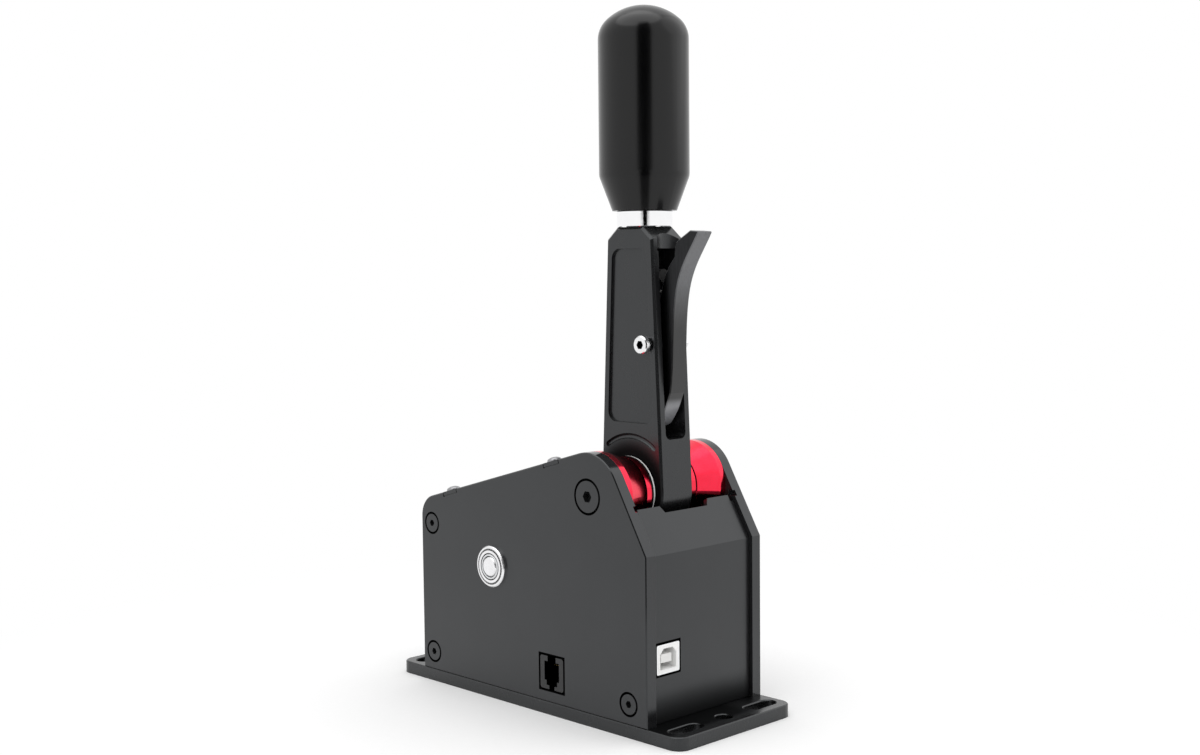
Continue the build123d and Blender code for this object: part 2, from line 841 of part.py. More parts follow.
def rear_cover():
    """The flat sheet between the plates at the rear, with its two foot flanges."""
    deep = top_cover_thickness
    sheet = block(rear_x, rear_x + deep, -cover_half, cover_half, cover_foot, rear_cover_top())
    post_x = rear_x + rear_post_inset
    left, right = flange(rear_x + deep, post_x + post_radius + flange_margin, deep)
    sheet += left
    sheet += right
    return sheet - bar_y(side_screw_radius + hole_gap, post_x, -inner_half, inner_half, low_post_height)


def hub(side):
    """A hub between a side plate and the lever: a rim, a long cone, a groove and a ring."""
    flange_end = inner_half - hub_flange_thickness
    groove_end = hub_barrel_end - hub_groove_width
    groove = hub_barrel_radius - hub_groove_depth
    neck_end = half_lever + washer_gap + washer_thickness
    bore = shaft_radius + running_gap
    brk = hub_edge_break
    profile = [
        (bore, inner_half), (hub_flange_radius, inner_half), (hub_flange_radius, flange_end),
        (hub_barrel_radius, hub_barrel_end + brk), (hub_barrel_radius - brk, hub_barrel_end),
        (groove, hub_barrel_end), (groove, groove_end), (hub_barrel_radius, groove_end),
        (hub_barrel_radius, hub_ring_end), (hub_neck_radius, hub_ring_end), (hub_neck_radius, neck_end),
        (bore, neck_end),
    ]
    return outward(side, pivot_x, 0, pivot_z) * turned(profile)


def hub_washer(side):
    """A thin washer with a seal behind it, whose boss meets the bearing's inner ring."""
    low = half_lever + washer_gap
    high = low + washer_thickness
    seal_end = hub_ring_end - seal_gap
    seal_inner = hub_neck_radius + seal_gap
    bore = shaft_radius + running_gap
    boss = shaft_radius + bearing_inner_wall - running_gap
    profile = [
        (bore, half_lever), (boss, half_lever), (boss, low),
        (washer_radius, low), (washer_radius, high), (seal_radius, high),
        (seal_radius, seal_end), (seal_inner, seal_end), (seal_inner, high), (bore, high),
    ]
    return outward(side, pivot_x, 0, pivot_z) * turned(profile)


def ball_groove():
    """The ring that the balls run in, a little larger than they are."""
    track = (shaft_radius + bearing_inner_wall + bearing_radius - bearing_outer_wall) / 2
    return Torus(track, ball_radius + running_gap)


def bearing_ring(inner, outer, side):
    """One ring of a ball bearing, with its track."""
    middle = half_lever - bearing_width / 2
    ring = Cylinder(outer, bearing_width) - Cylinder(inner, bearing_width + overrun)
    return outward(side, pivot_x, middle, pivot_z) * (ring - ball_groove())


def bearing_balls(side):
    """The balls of one bearing."""
    middle = half_lever - bearing_width / 2
    track = (shaft_radius + bearing_inner_wall + bearing_radius - bearing_outer_wall) / 2
    balls = []
    for index in range(ball_count):
        turn = Rot(0, 0, full_turn * index / ball_count)
        balls.append(outward(side, pivot_x, middle, pivot_z) * turn * Pos(track, 0, 0) * Sphere(ball_radius))
    return balls


def pivot_shaft():
    """The fixed shaft between the side plates, tapped at both ends."""
    shaft = bar_y(shaft_radius, pivot_x, -inner_half, inner_half, pivot_z)
    tap = pivot_screw_radius + thread_gap
    shaft -= bar_y(tap, pivot_x, -inner_half - overrun, shaft_thread_depth - inner_half, pivot_z)
    return shaft - bar_y(tap, pivot_x, inner_half - shaft_thread_depth, inner_half + overrun, pivot_z)


def lever_half_depth(z):
    """Half the lever's depth along X at height z, on its tapered sides."""
    taper = math.radians(lever_taper)
    return lever_foot_radius / math.cos(taper) - (z - pivot_z) * math.tan(taper)


def lever_blank():
    """The lever's outline made solid, with a round foot about the pivot and chamfered shoulders."""
    shoulder = lever_top_height - lever_shoulder_drop
    half = lever_half_depth(shoulder)
    top_half = half - lever_shoulder_depth
    right_foot = around_pivot(lever_foot_radius, lever_taper)
    left_foot = around_pivot(lever_foot_radius, half_turn - lever_taper)
    sides = Polyline(
        right_foot,
        (pivot_x + half, shoulder),
        (pivot_x + top_half, lever_top_height),
        (pivot_x - top_half, lever_top_height),
        (pivot_x - half, shoulder),
        left_foot,
    )
    foot = ThreePointArc(left_foot, (pivot_x, pivot_z - lever_foot_radius), right_foot)
    blank = side_slab(make_face([sides, foot]), -half_lever, half_lever)
    rims = blank.faces().sort_by(Axis.Y)[0].edges() + blank.faces().sort_by(Axis.Y)[-1].edges()
    return chamfer(rims, lever_edge_chamfer)


def lever_panel():
    """The recessed panel's outline on the lever's sides."""
    low = lever_half_depth(panel_bottom) - panel_margin
    high = lever_half_depth(panel_top) - panel_margin
    face = polygon([
        (pivot_x - low, panel_bottom), (pivot_x + low, panel_bottom),
        (pivot_x + high, panel_top), (pivot_x - high, panel_top),
    ])
    return fillet(face.vertices(), panel_radius)


def lever_body():
    """The milled lever with its slot, panels, arched grooves, bearing seats and lower arm."""
    lever = lever_blank()
    eye = (pivot_x, rod_z)
    arm_top = pivot_z - lever_foot_radius / 2
    arm = polygon([
        (pivot_x - arm_root_half, arm_top), (pivot_x - arm_eye_radius, rod_z),
        (pivot_x + arm_eye_radius, rod_z), (pivot_x + arm_root_half, arm_top),
    ]) + Pos(*eye) * Circle(arm_eye_radius)
    lever += side_slab(arm, -arm_thickness / 2, arm_thickness / 2)
    lever -= bar_y(fork_pin_radius, pivot_x, -half_lever, half_lever, rod_z)
    seat = half_lever - bearing_width
    lever -= bar_y(bearing_radius - bearing_shoulder, pivot_x, -half_lever, half_lever, pivot_z)
    panel = lever_panel()
    arc = CenterArc((pivot_x, pivot_z), arch_radius, quarter_turn - arch_half_angle, arch_half_angle * 2)
    arch = SlotArc(arc, arch_width)
    arch_round = (arch_depth ** 2 + (arch_width / 2) ** 2) / (arch_depth * 2)
    for side in (-1, 1):
        seat_ends = sorted((side * seat, side * (half_lever + overrun)))
        lever -= bar_y(bearing_radius, pivot_x, seat_ends[0], seat_ends[1], pivot_z)
        panel_ends = sorted((side * panel_face, side * (half_lever + overrun)))
        lever -= side_slab(panel, panel_ends[0], panel_ends[1])
        lever -= bar_y(trigger_seat_radius, trigger_pin_x, panel_ends[0], panel_ends[1], trigger_pin_height)
        arch_ends = sorted((side * (half_lever - arch_depth), side * (half_lever + overrun)))
        ring_place = outward(side, pivot_x, half_lever - arch_depth + arch_round, pivot_z)
        ring = ring_place * Torus(arch_radius, arch_round)
        lever -= side_slab(arch, arch_ends[0], arch_ends[1]) & ring
    slot = Pos(0, (slot_bottom + slot_top) / 2) * Rectangle(slot_width, slot_top - slot_bottom)
    slot = fillet(slot.vertices().group_by(Axis.Y)[0], slot_corner_radius)
    front = pivot_x + lever_foot_radius + overrun
    lever -= front_slab(slot, slot_floor_x, front)
    channel_x = pivot_x + lever_half_depth(slot_top) - channel_depth + channel_radius
    lever -= bar_z(channel_radius, channel_x, 0, slot_top - overrun, lever_top_height + overrun)
    lever -= bar_y(trigger_pin_radius, trigger_pin_x, -half_lever, half_lever, trigger_pin_height)
    lever -= bar_z(stud_radius, pivot_x, 0, lever_top_height - stud_depth, lever_top_height + overrun)
    for z in (trigger_rest_pad_height, trigger_limit_pad_height):
        lever -= bar_x(trigger_pad_radius, slot_floor_x - screw_land, slot_floor_x + overrun, 0, z)
    return lever


def grip():
    """The turned grip with its tapered foot and domed crown."""
    cylinder_foot = grip_bottom + grip_taper_height
    apex = grip_bottom + grip_height
    crown_radius = grip_radius + grip_crown_bulge
    crown_centre = apex - crown_radius
    crown_rim = crown_centre + math.sqrt(crown_radius ** 2 - grip_radius ** 2)
    tilt = math.asin(grip_radius / crown_radius) / 2
    crown_middle = (crown_radius * math.sin(tilt), crown_centre + crown_radius * math.cos(tilt))
    sides = Polyline(
        (0, apex), (0, grip_bottom), (grip_foot_radius, grip_bottom),
        (grip_radius, cylinder_foot), (grip_radius, crown_rim),
    )
    crown = ThreePointArc((grip_radius, crown_rim), crown_middle, (0, apex))
    face = make_face([sides, crown])
    rim = face.vertices().sort_by_distance((grip_radius, crown_rim, 0))[0]
    face = fillet(rim, grip_shoulder_round)
    bend = face.vertices().sort_by_distance((grip_radius, cylinder_foot, 0))[0]
    face = fillet(bend, grip_taper_round)
    body = Pos(pivot_x, 0, 0) * revolve(Plane.XZ * face, Axis.Z, full_turn)
    bore = stud_radius + running_gap
    return body - bar_z(bore, pivot_x, 0, grip_bottom - overrun, grip_bottom + stud_reach + overrun)


def grip_collar():
    """The polished collar between the lever and the grip."""
    brk = collar_edge_break
    bore = stud_radius + running_gap
    profile = [
        (bore, lever_top_height), (collar_radius - brk, lever_top_height),
        (collar_radius, lever_top_height + brk), (collar_radius, grip_bottom - brk),
        (collar_radius - brk, grip_bottom), (bore, grip_bottom),
    ]
    return Pos(pivot_x, 0, 0) * turned(profile)


def lever_stud():
    """The stud that holds the grip on the lever."""
    return bar_z(stud_radius, pivot_x, 0, lever_top_height - stud_depth, grip_bottom + stud_reach)


def trigger_points(shares):
    """Points of the trigger's outline from shares of its reach and rise."""
    return [(trigger_pin_x + x * trigger_reach, trigger_pin_height + z * trigger_rise) for x, z in shares]


def trigger():
    """The curved trigger blade with its boss on the pin."""
    front = trigger_points(trigger_front_shares)
    tail = trigger_points(trigger_tail_shares)
    back = trigger_points(trigger_back_shares)
    crown = trigger_points(trigger_crown_shares)
    lines = [
        Spline(*front),
        Polyline(front[-1], tail[0]),
        Spline(*tail),
        Spline(tail[-1], *back),
        Polyline(back[-1], *crown, front[0]),
    ]
    half = trigger_width / 2
    blade = side_slab(make_face(lines), -half, half)
    rims = blade.faces().sort_by(Axis.Y)[0].edges() + blade.faces().sort_by(Axis.Y)[-1].edges()
    blade = chamfer(rims, trigger_edge_break)
    boss_half = slot_width / 2 - trigger_boss_gap
    blade += bar_y(trigger_boss_radius, trigger_pin_x, -boss_half, boss_half, trigger_pin_height)
    bore = trigger_pin_radius + running_gap
    blade -= bar_y(bore, trigger_pin_x, -half_lever, half_lever, trigger_pin_height)
    spring_x = trigger_spring_end()
    blade -= bar_x(trigger_spring_radius + coil_gap, slot_floor_x, spring_x, 0, trigger_spring_height)
    magnet_end = trigger_magnet_x() + trigger_magnet_length
    return blade - bar_x(trigger_magnet_radius, slot_floor_x, magnet_end, 0, trigger_magnet_height)


def trigger_back_x(z):
    """Where the trigger's back is at height z, between two points of its outline."""
    points = trigger_points(trigger_back_shares)
    for low, high in zip(points, points[1:]):
        if low[1] <= z <= high[1]:
            along = (z - low[1]) / (high[1] - low[1])
            return low[0] + (high[0] - low[0]) * along
    return points[0][0]


def trigger_spring_end():
    """The bottom of the trigger spring's seat in the trigger."""
    return trigger_back_x(trigger_spring_height) + trigger_spring_seat


def trigger_magnet_x():
    """The face of the magnet in the trigger's tail."""
    return trigger_back_x(trigger_magnet_height) + edge_break


def trigger_pin():
    """The socket head screw that the trigger turns on."""
    head_end = -panel_face - trigger_pin_head_height
    tip = panel_face + trigger_nut_height + edge_break
    head = bar_y(trigger_pin_head, trigger_pin_x, head_end, -panel_face, trigger_pin_height)
    head = chamfer(head.edges().group_by(Axis.Y)[0], edge_break)
    pin = head + bar_y(trigger_pin_radius, trigger_pin_x, -panel_face, tip, trigger_pin_height)
    socket = at_left(trigger_pin_x, head_end, trigger_pin_height) * hex_prism(
        trigger_pin_flats, -trigger_pin_head_height * socket_depth_share, overrun)
    return pin - socket


def trigger_nut():
    """The lock nut on the trigger pin's far end."""
    seat = at_right(trigger_pin_x, panel_face, trigger_pin_height)
    far_end = panel_face + trigger_nut_height + overrun
    nut = seat * hex_prism(trigger_nut_flats, 0, trigger_nut_height)
    return nut - bar_y(trigger_pin_radius, trigger_pin_x, panel_face - overrun, far_end, trigger_pin_height)


def trigger_spring():
    """The small spring that pushes the trigger forward, as the tube that it fills."""
    inner = trigger_spring_radius - trigger_spring_wall
    return ring_x(inner, trigger_spring_radius, slot_floor_x, trigger_spring_end(), 0, trigger_spring_height)


def trigger_magnet():
    """The magnet in the trigger's tail."""
    x = trigger_magnet_x()
    return bar_x(trigger_magnet_radius, x, x + trigger_magnet_length, 0, trigger_magnet_height)


def trigger_sensor():
    """The small sensor board on the slot's floor, behind the magnet."""
    half = trigger_sensor_width / 2
    low = trigger_magnet_height - trigger_sensor_height / 2 + trigger_chip_size
    face = slot_floor_x + trigger_sensor_thickness
    board = block(slot_floor_x, face, -half, half, low, low + trigger_sensor_height)
    chip_half = trigger_chip_size / 2
    chip = block(face, face + trigger_chip_thickness, -chip_half, chip_half,
                 trigger_magnet_height - chip_half, trigger_magnet_height + chip_half)
    return board + chip


def trigger_pads():
    """The rest pad under the tail and the limit pad behind the blade."""
    nose = trigger_points(trigger_tail_shares)[-2][0]
    seat = slot_floor_x - screw_land
    rest = bar_x(trigger_pad_radius, seat, nose - trigger_pad_gap, 0, trigger_rest_pad_height)
    swing = (trigger_limit_pad_height - trigger_pin_height) * math.radians(trigger_travel)
    limit_tip = trigger_back_x(trigger_limit_pad_height) - swing - trigger_limit_gap
    limit = bar_x(trigger_pad_radius, seat, limit_tip, 0, trigger_limit_pad_height)
    return [rest, limit]


def rod_fork():
    """The fork on the rod's end: its oblong holes let the pin rise a little as the lever rocks."""
    half = fork_width / 2
    shank = Rectangle(pivot_x - fork_bridge_rear, fork_radius * 2)
    face = Pos((pivot_x + fork_bridge_rear) / 2, rod_z) * shank + Pos(pivot_x, rod_z) * Circle(fork_radius)
    fork = side_slab(face, -half, half)
    tongue = arm_thickness / 2 + fork_slot_gap
    fork -= block(fork_bridge_front, pivot_x + fork_radius + overrun, -tongue, tongue,
                  rod_z - fork_radius - overrun, rod_z + fork_radius + overrun)
    wide = (fork_pin_radius + running_gap) * 2
    hole = Pos(pivot_x, rod_z) * SlotOverall(wide + fork_pin_slack * 2, wide, rotation=quarter_turn)
    fork -= side_slab(hole, -half - overrun, half + overrun)
    return fork - bar_x(rod_radius, fork_bridge_rear - overrun, fork_bridge_front + overrun, 0, rod_z)


def shift_rod():
    """The rod that slides through both spring blocks."""
    rod = bar_x(rod_radius, rod_rear_x, fork_bridge_front, 0, rod_z)
    return chamfer(rod.edges().sort_by(Axis.X)[0], edge_break)


def fork_pin():
    """The pin through the lever's arm and the fork."""
    half = fork_width / 2 + fork_pin_overhang
    return bar_y(fork_pin_radius, pivot_x, -half, half, rod_z)


def pin_clips():
    """The two clips that keep the fork pin in place."""
    start = fork_width / 2 + clip_gap
    end = start + clip_thickness
    left = ring_y(fork_pin_radius, clip_radius, pivot_x, -end, -start, rod_z)
    right = ring_y(fork_pin_radius, clip_radius, pivot_x, start, end, rod_z)
    return [left, right]


def rod_collar():
    """The collar that both springs push on, with its screw hole and magnet seat."""
    collar = ring_x(rod_radius, collar_on_rod_radius, collar_rear, collar_front, 0, rod_z)
    collar -= bar_z(collar_screw_radius, collar_x, 0, rod_z, rod_z + collar_on_rod_radius + overrun)
    low = rod_z - collar_on_rod_radius
    seat = low + shift_magnet_inset + shift_magnet_length
    return collar - bar_z(shift_magnet_radius, collar_x, 0, low - overrun, seat)


def shift_magnet():
    """The magnet under the collar."""
    low = rod_z - collar_on_rod_radius + shift_magnet_inset
    return bar_z(shift_magnet_radius, collar_x, 0, low, low + shift_magnet_length)


def collar_screw():
    """The headless screw that fixes the collar on the rod."""
    low = rod_z + rod_radius
    screw = bar_z(collar_screw_radius, collar_x, 0, low, low + collar_screw_length)
    prism = hex_prism(collar_screw_radius, collar_screw_length / 2, collar_screw_length + overrun)
    socket = Pos(collar_x, 0, low) * prism
    return screw - socket


def spring_block(x_from, x_to):
    """A block on the base that carries a bush for the rod and seats a spring."""
    top = rod_z + block_rise
    face = polygon([
        (-block_half_width, base_thickness), (block_half_width, base_thickness),
        (block_half_width, top - block_corner), (block_half_width - block_corner, top),
        (block_corner - block_half_width, top), (-block_half_width, top - block_corner),
    ])
    body = front_slab(face, x_from, x_to)
    body -= bar_x(rod_radius + running_gap + bush_wall, x_from - overrun, x_to + overrun, 0, rod_z)
    middle = (x_from + x_to) / 2
    for y in (-block_screw_offset, block_screw_offset):
        body -= bar_z(side_screw_radius + thread_gap, middle, y, 0, block_screw_length + overrun)
    return body


def rod_bush(x_from, x_to, flange_from, flange_to):
    """A flanged bush for the rod."""
    bore = rod_radius + running_gap
    body = ring_x(bore, bore + bush_wall, x_from, x_to, 0, rod_z)
    return body + ring_x(bore, bush_flange_radius, flange_from, flange_to, 0, rod_z)


def centring_spring(x_from, x_to):
    """A centring spring, as the tube that it fills."""
    return ring_x(spring_radius - spring_wire, spring_radius, x_from, x_to, 0, rod_z)


def stop_sleeves():
    """The sleeves inside the springs that stop the collar at the ends of its travel."""
    inner = rod_radius + coil_gap
    reach = rod_stroke + stop_gap
    front = ring_x(inner, inner + sleeve_wall, collar_front + reach, spring_front_end, 0, rod_z)
    rear = ring_x(inner, inner + sleeve_wall, spring_rear_end, collar_rear - reach, 0, rod_z)
    return [front, rear]


def button_at(y_out):
    """A place on the button's axis, y_out outside the left plate's face, looking outwards."""
    return at_left(button_x, -half_base - y_out, button_height)


def button_bezel():
    """The outer ring with its fine notches."""
    brk = edge_break
    proud = button_bezel_proud
    profile = [
        (button_bezel_inner, 0), (button_bezel_radius, 0), (button_bezel_radius, proud - brk),
        (button_bezel_radius - brk, proud), (button_bezel_inner, proud),
    ]
    ring = turned(profile)
    notch_ring = button_bezel_inner + button_notch_inset
    notch = Cylinder(button_notch_radius, button_notch_radius * 2)
    for index in range(button_notch_count):
        ring -= Rot(0, 0, full_turn * index / button_notch_count) * Pos(notch_ring, 0, proud) * notch
    return button_at(0) * ring


def button_barrel():
    """The barrel through the plate, bored for the cap and its stem."""
    proud = button_face_proud
    thread = button_barrel_thread
    deep = -button_body_length
    face_floor = proud - button_ring_depth
    ring_room = button_ring_outer + button_ring_room
    cap_room = button_cap_radius + button_line
    bore = proud - button_bore_depth
    stem = button_stem_radius + coil_gap
    profile = [
        (0, deep), (thread, deep), (thread, -plate_thickness), (button_barrel_radius, -plate_thickness),
        (button_barrel_radius, proud), (ring_room, proud), (ring_room, face_floor), (cap_room, face_floor),
        (cap_room, bore), (stem, bore), (stem, bore - button_stem_length - overrun),
        (0, bore - button_stem_length - overrun),
    ]
    body = turned(profile)
    for side in (-1, 1):
        body += bar_z(button_pin_radius, side * button_pin_offset, 0, deep - button_pin_length, deep)
    return button_at(0) * body


def button_ring():
    """The light ring round the cap."""
    top = button_face_proud + button_line
    low = button_face_proud - button_ring_depth
    profile = [
        (button_ring_inner, low), (button_ring_outer, low), (button_ring_outer, top - button_line),
        (button_ring_outer - button_line, top), (button_ring_inner, top),
    ]
    return button_at(0) * turned(profile)


def button_cap():
    """The cap that is pressed, with its stem."""
    top = button_cap_proud
    low = top - button_cap_length
    brk = edge_break
    stem_end = low - button_stem_length
    profile = [
        (0, top), (button_cap_radius - brk, top), (button_cap_radius, top - brk), (button_cap_radius, low),
        (button_stem_radius, low), (button_stem_radius, stem_end), (0, stem_end),
    ]
    return button_at(0) * turned(profile)


def button_spring():
    """The spring under the cap, as the tube that it fills."""
    low = button_face_proud - button_bore_depth
    high = button_cap_proud - button_cap_length
    inner = button_spring_radius - button_spring_wall
    profile = [(inner, low), (button_spring_radius, low), (button_spring_radius, high), (inner, high)]
    return button_at(0) * turned(profile)


def button_nut():
    """The flat nut that holds the button behind the plate."""
    nut = hex_prism(button_nut_flats, -plate_thickness - button_nut_thickness, -plate_thickness)
    bore = Cylinder(button_barrel_thread, button_body_length * 2)
    return button_at(0) * (nut - bore)


def modular_socket():
    """The socket body that stands on the control board and shows in the left plate."""
    body = side_slab(socket_face(), -half_base, modular_depth - half_base)
    return body - side_slab(modular_mouth(), -half_base - overrun, modular_mouth_depth - half_base)


def socket_contacts():
    """The spring wires in the socket's comb."""
    top = board_top + modular_mouth_lift + modular_mouth_height
    back = modular_mouth_depth - half_base
    wires = []
    for index in range(contact_count):
        x = modular_x + (index - (contact_count - 1) / 2) * contact_pitch
        start = Vector(x, back - contact_radius, top - contact_radius * 2)
        end = Vector(x, back - contact_length, top - contact_drop)
        run = end - start
        wire = Plane(start, z_dir=run) * Pos(0, 0, run.length / 2) * Cylinder(contact_radius, run.length)
        wires.append(wire)
    return wires


def usb_mouth():
    """The opening of the USB socket, in Y and Z, with its two cut corners."""
    low = usb_bottom + (usb_height - usb_mouth_height) / 2
    high = low + usb_mouth_height
    half = usb_mouth_width / 2
    cut = usb_mouth_chamfer
    return polygon([
        (usb_y - half, low), (usb_y + half, low), (usb_y + half, high - cut),
        (usb_y + half - cut, high), (usb_y - half + cut, high), (usb_y - half, high - cut),
    ])


def usb_shell():
    """The metal shell of the USB socket."""
    face_x = front_face_x + usb_proud
    outline = Pos(usb_y, usb_bottom + usb_height / 2) * RectangleRounded(usb_width, usb_height, usb_corner)
    body = front_slab(outline, face_x - usb_depth, face_x)
    return body - front_slab(usb_mouth(), face_x - usb_mouth_depth, face_x + overrun)


def usb_tongue():
    """The insulating tongue inside the USB socket."""
    face_x = front_face_x + usb_proud
    middle_z = usb_bottom + usb_height / 2
    half = usb_tongue_width / 2
    high = usb_tongue_height / 2
    return block(face_x - usb_mouth_depth, face_x - usb_tongue_setback, usb_y - half, usb_y + half,
                 middle_z - high, middle_z + high)


def control_board():
    """The main board, with a window for the front spring block."""
    low = board_top - board_thickness
    board = block(board_rear, board_front, -board_half_width, board_half_width, low, board_top)
    gap = board_window_gap
    board -= block(block_inner_front - gap, block_front_x + gap,
                   -block_half_width - gap, block_half_width + gap, low - overrun, board_top + overrun)
    for x, y in board_post_places():
        board -= bar_z(board_screw_radius + hole_gap, x, y, low - overrun, board_top + overrun)
    return board


def board_posts():
    """The posts between the base and the control board."""
    posts = []
    for x, y in board_post_places():
        post = bar_z(board_post_radius, x, y, base_thickness, board_top - board_thickness)
        posts.append(post - bar_z(board_screw_radius + thread_gap, x, y, 0, board_top))
    return posts


def board_screws():
    """The screws that hold the control board on its posts."""
    screws = []
    for x, y in board_post_places():
        shank = bar_z(board_screw_radius, x, y, base_thickness / 2 + edge_break, board_top)
        head = bar_z(board_screw_head, x, y, board_top, board_top + board_screw_head_height)
        head_top = board_screw_head_height + overrun
        prism = hex_prism(board_screw_radius * 2, board_screw_head_height / 2, head_top)
        socket = Pos(x, y, board_top) * prism
        screws.append(shank + head - socket)
    return screws


def board_components():
    """Chips and small parts on the control board."""
    middle = (board_rear + board_front) / 2
    half_length = (board_front - board_rear) / 2
    parts = []
    for x_share, side in chip_place_shares:
        x = middle + x_share * half_length
        y = side * board_strip_middle
        half = chip_size / 2
        parts.append(block(x - half, x + half, y - half, y + half, board_top, board_top + chip_thickness))
    for x_share, side in small_place_shares:
        x = middle + x_share * half_length
        y = side * board_strip_middle
        half = small_part_size / 2
        parts.append(block(x - half, x + half, y - half, y + half, board_top, board_top + small_part_height))
    return parts


def sensor_post_places():
    """The four posts under the sensor board."""
    x_half = sensor_board_length / 2 - sensor_post_inset
    y_half = sensor_board_width / 2 - sensor_post_inset
    return [(collar_x + a * x_half, b * y_half) for a in (-1, 1) for b in (-1, 1)]


def sensor_board():
    """The board that holds the position sensor under the collar's magnet."""
    x_half = sensor_board_length / 2
    y_half = sensor_board_width / 2
    top = sensor_board_top
    board = block(collar_x - x_half, collar_x + x_half, -y_half, y_half, top - board_thickness, top)
    half = sensor_chip_size / 2
    return board + block(collar_x - half, collar_x + half, -half, half, top, top + sensor_chip_thickness)


def sensor_posts():
    """The posts between the control board and the sensor board."""
    high = sensor_board_top - board_thickness
    return [bar_z(sensor_post_radius, x, y, board_top, high) for x, y in sensor_post_places()]


def socket_board():
    """The small board that carries the USB socket."""
    half = usb_board_width / 2
    return block(usb_board_rear, usb_board_front, usb_y - half, usb_y + half, usb_board_bottom, usb_board_top)


def socket_board_posts():
    """The two posts and the pin header between the boards."""
    half = usb_board_width / 2
    x = usb_board_rear + sensor_post_inset
    ys = [usb_y + side * (half - sensor_post_inset) for side in (-1, 1)]
    posts = [bar_z(sensor_post_radius, x, y, board_top, usb_board_bottom) for y in ys]
    header_half = usb_header_width / 2
    posts.append(block(x - usb_header_length / 2, x + usb_header_length / 2,
                       usb_y - header_half, usb_y + header_half, board_top, usb_board_bottom))
    return posts


def side_screws():
    """The small countersunk screws that hold the cross posts, three on each side."""
    screw = countersunk_screw(side_screw_radius, side_screw_head, side_screw_length, side_screw_flats)
    return [outward(side, x, half_base, z) * screw for side in (-1, 1) for x, z in side_screw_places()]


def pivot_screws():
    """The two large countersunk screws in the shaft's ends."""
    screw = countersunk_screw(pivot_screw_radius, pivot_screw_head, pivot_screw_length, pivot_screw_flats)
    return [outward(side, pivot_x, half_base, pivot_z) * screw for side in (-1, 1)]


def base_screws():
    """The screws up through the base into the side plates."""
    screw = countersunk_screw(base_screw_radius, base_screw_head, base_screw_length, base_screw_flats)
    return [place * screw for place, hole in base_screw_places() if hole[0] == base_screw_radius]


def block_screws():
    """The screws up through the base into the spring blocks."""
    screw = countersunk_screw(side_screw_radius, side_screw_head, block_screw_length, side_screw_flats)
    return [place * screw for place, hole in base_screw_places() if hole[0] == side_screw_radius]


def ear_screws():
    """The domed screws in the top cover's ears."""
    screw = domed_screw(ear_screw_radius, ear_screw_head, ear_screw_head_height,
                        ear_screw_length, ear_screw_flats)
    offsets = [Pos(-ear_screw_shift, side * ear_screw_y, 0) for side in (-1, 1)]
    return [slope_place(x) * offset * screw for x in ear_places for offset in offsets]


def pair(make, *sizes):
    """The left and right copies of a piece."""
    return [make(*sizes, side) for side in (-1, 1)]


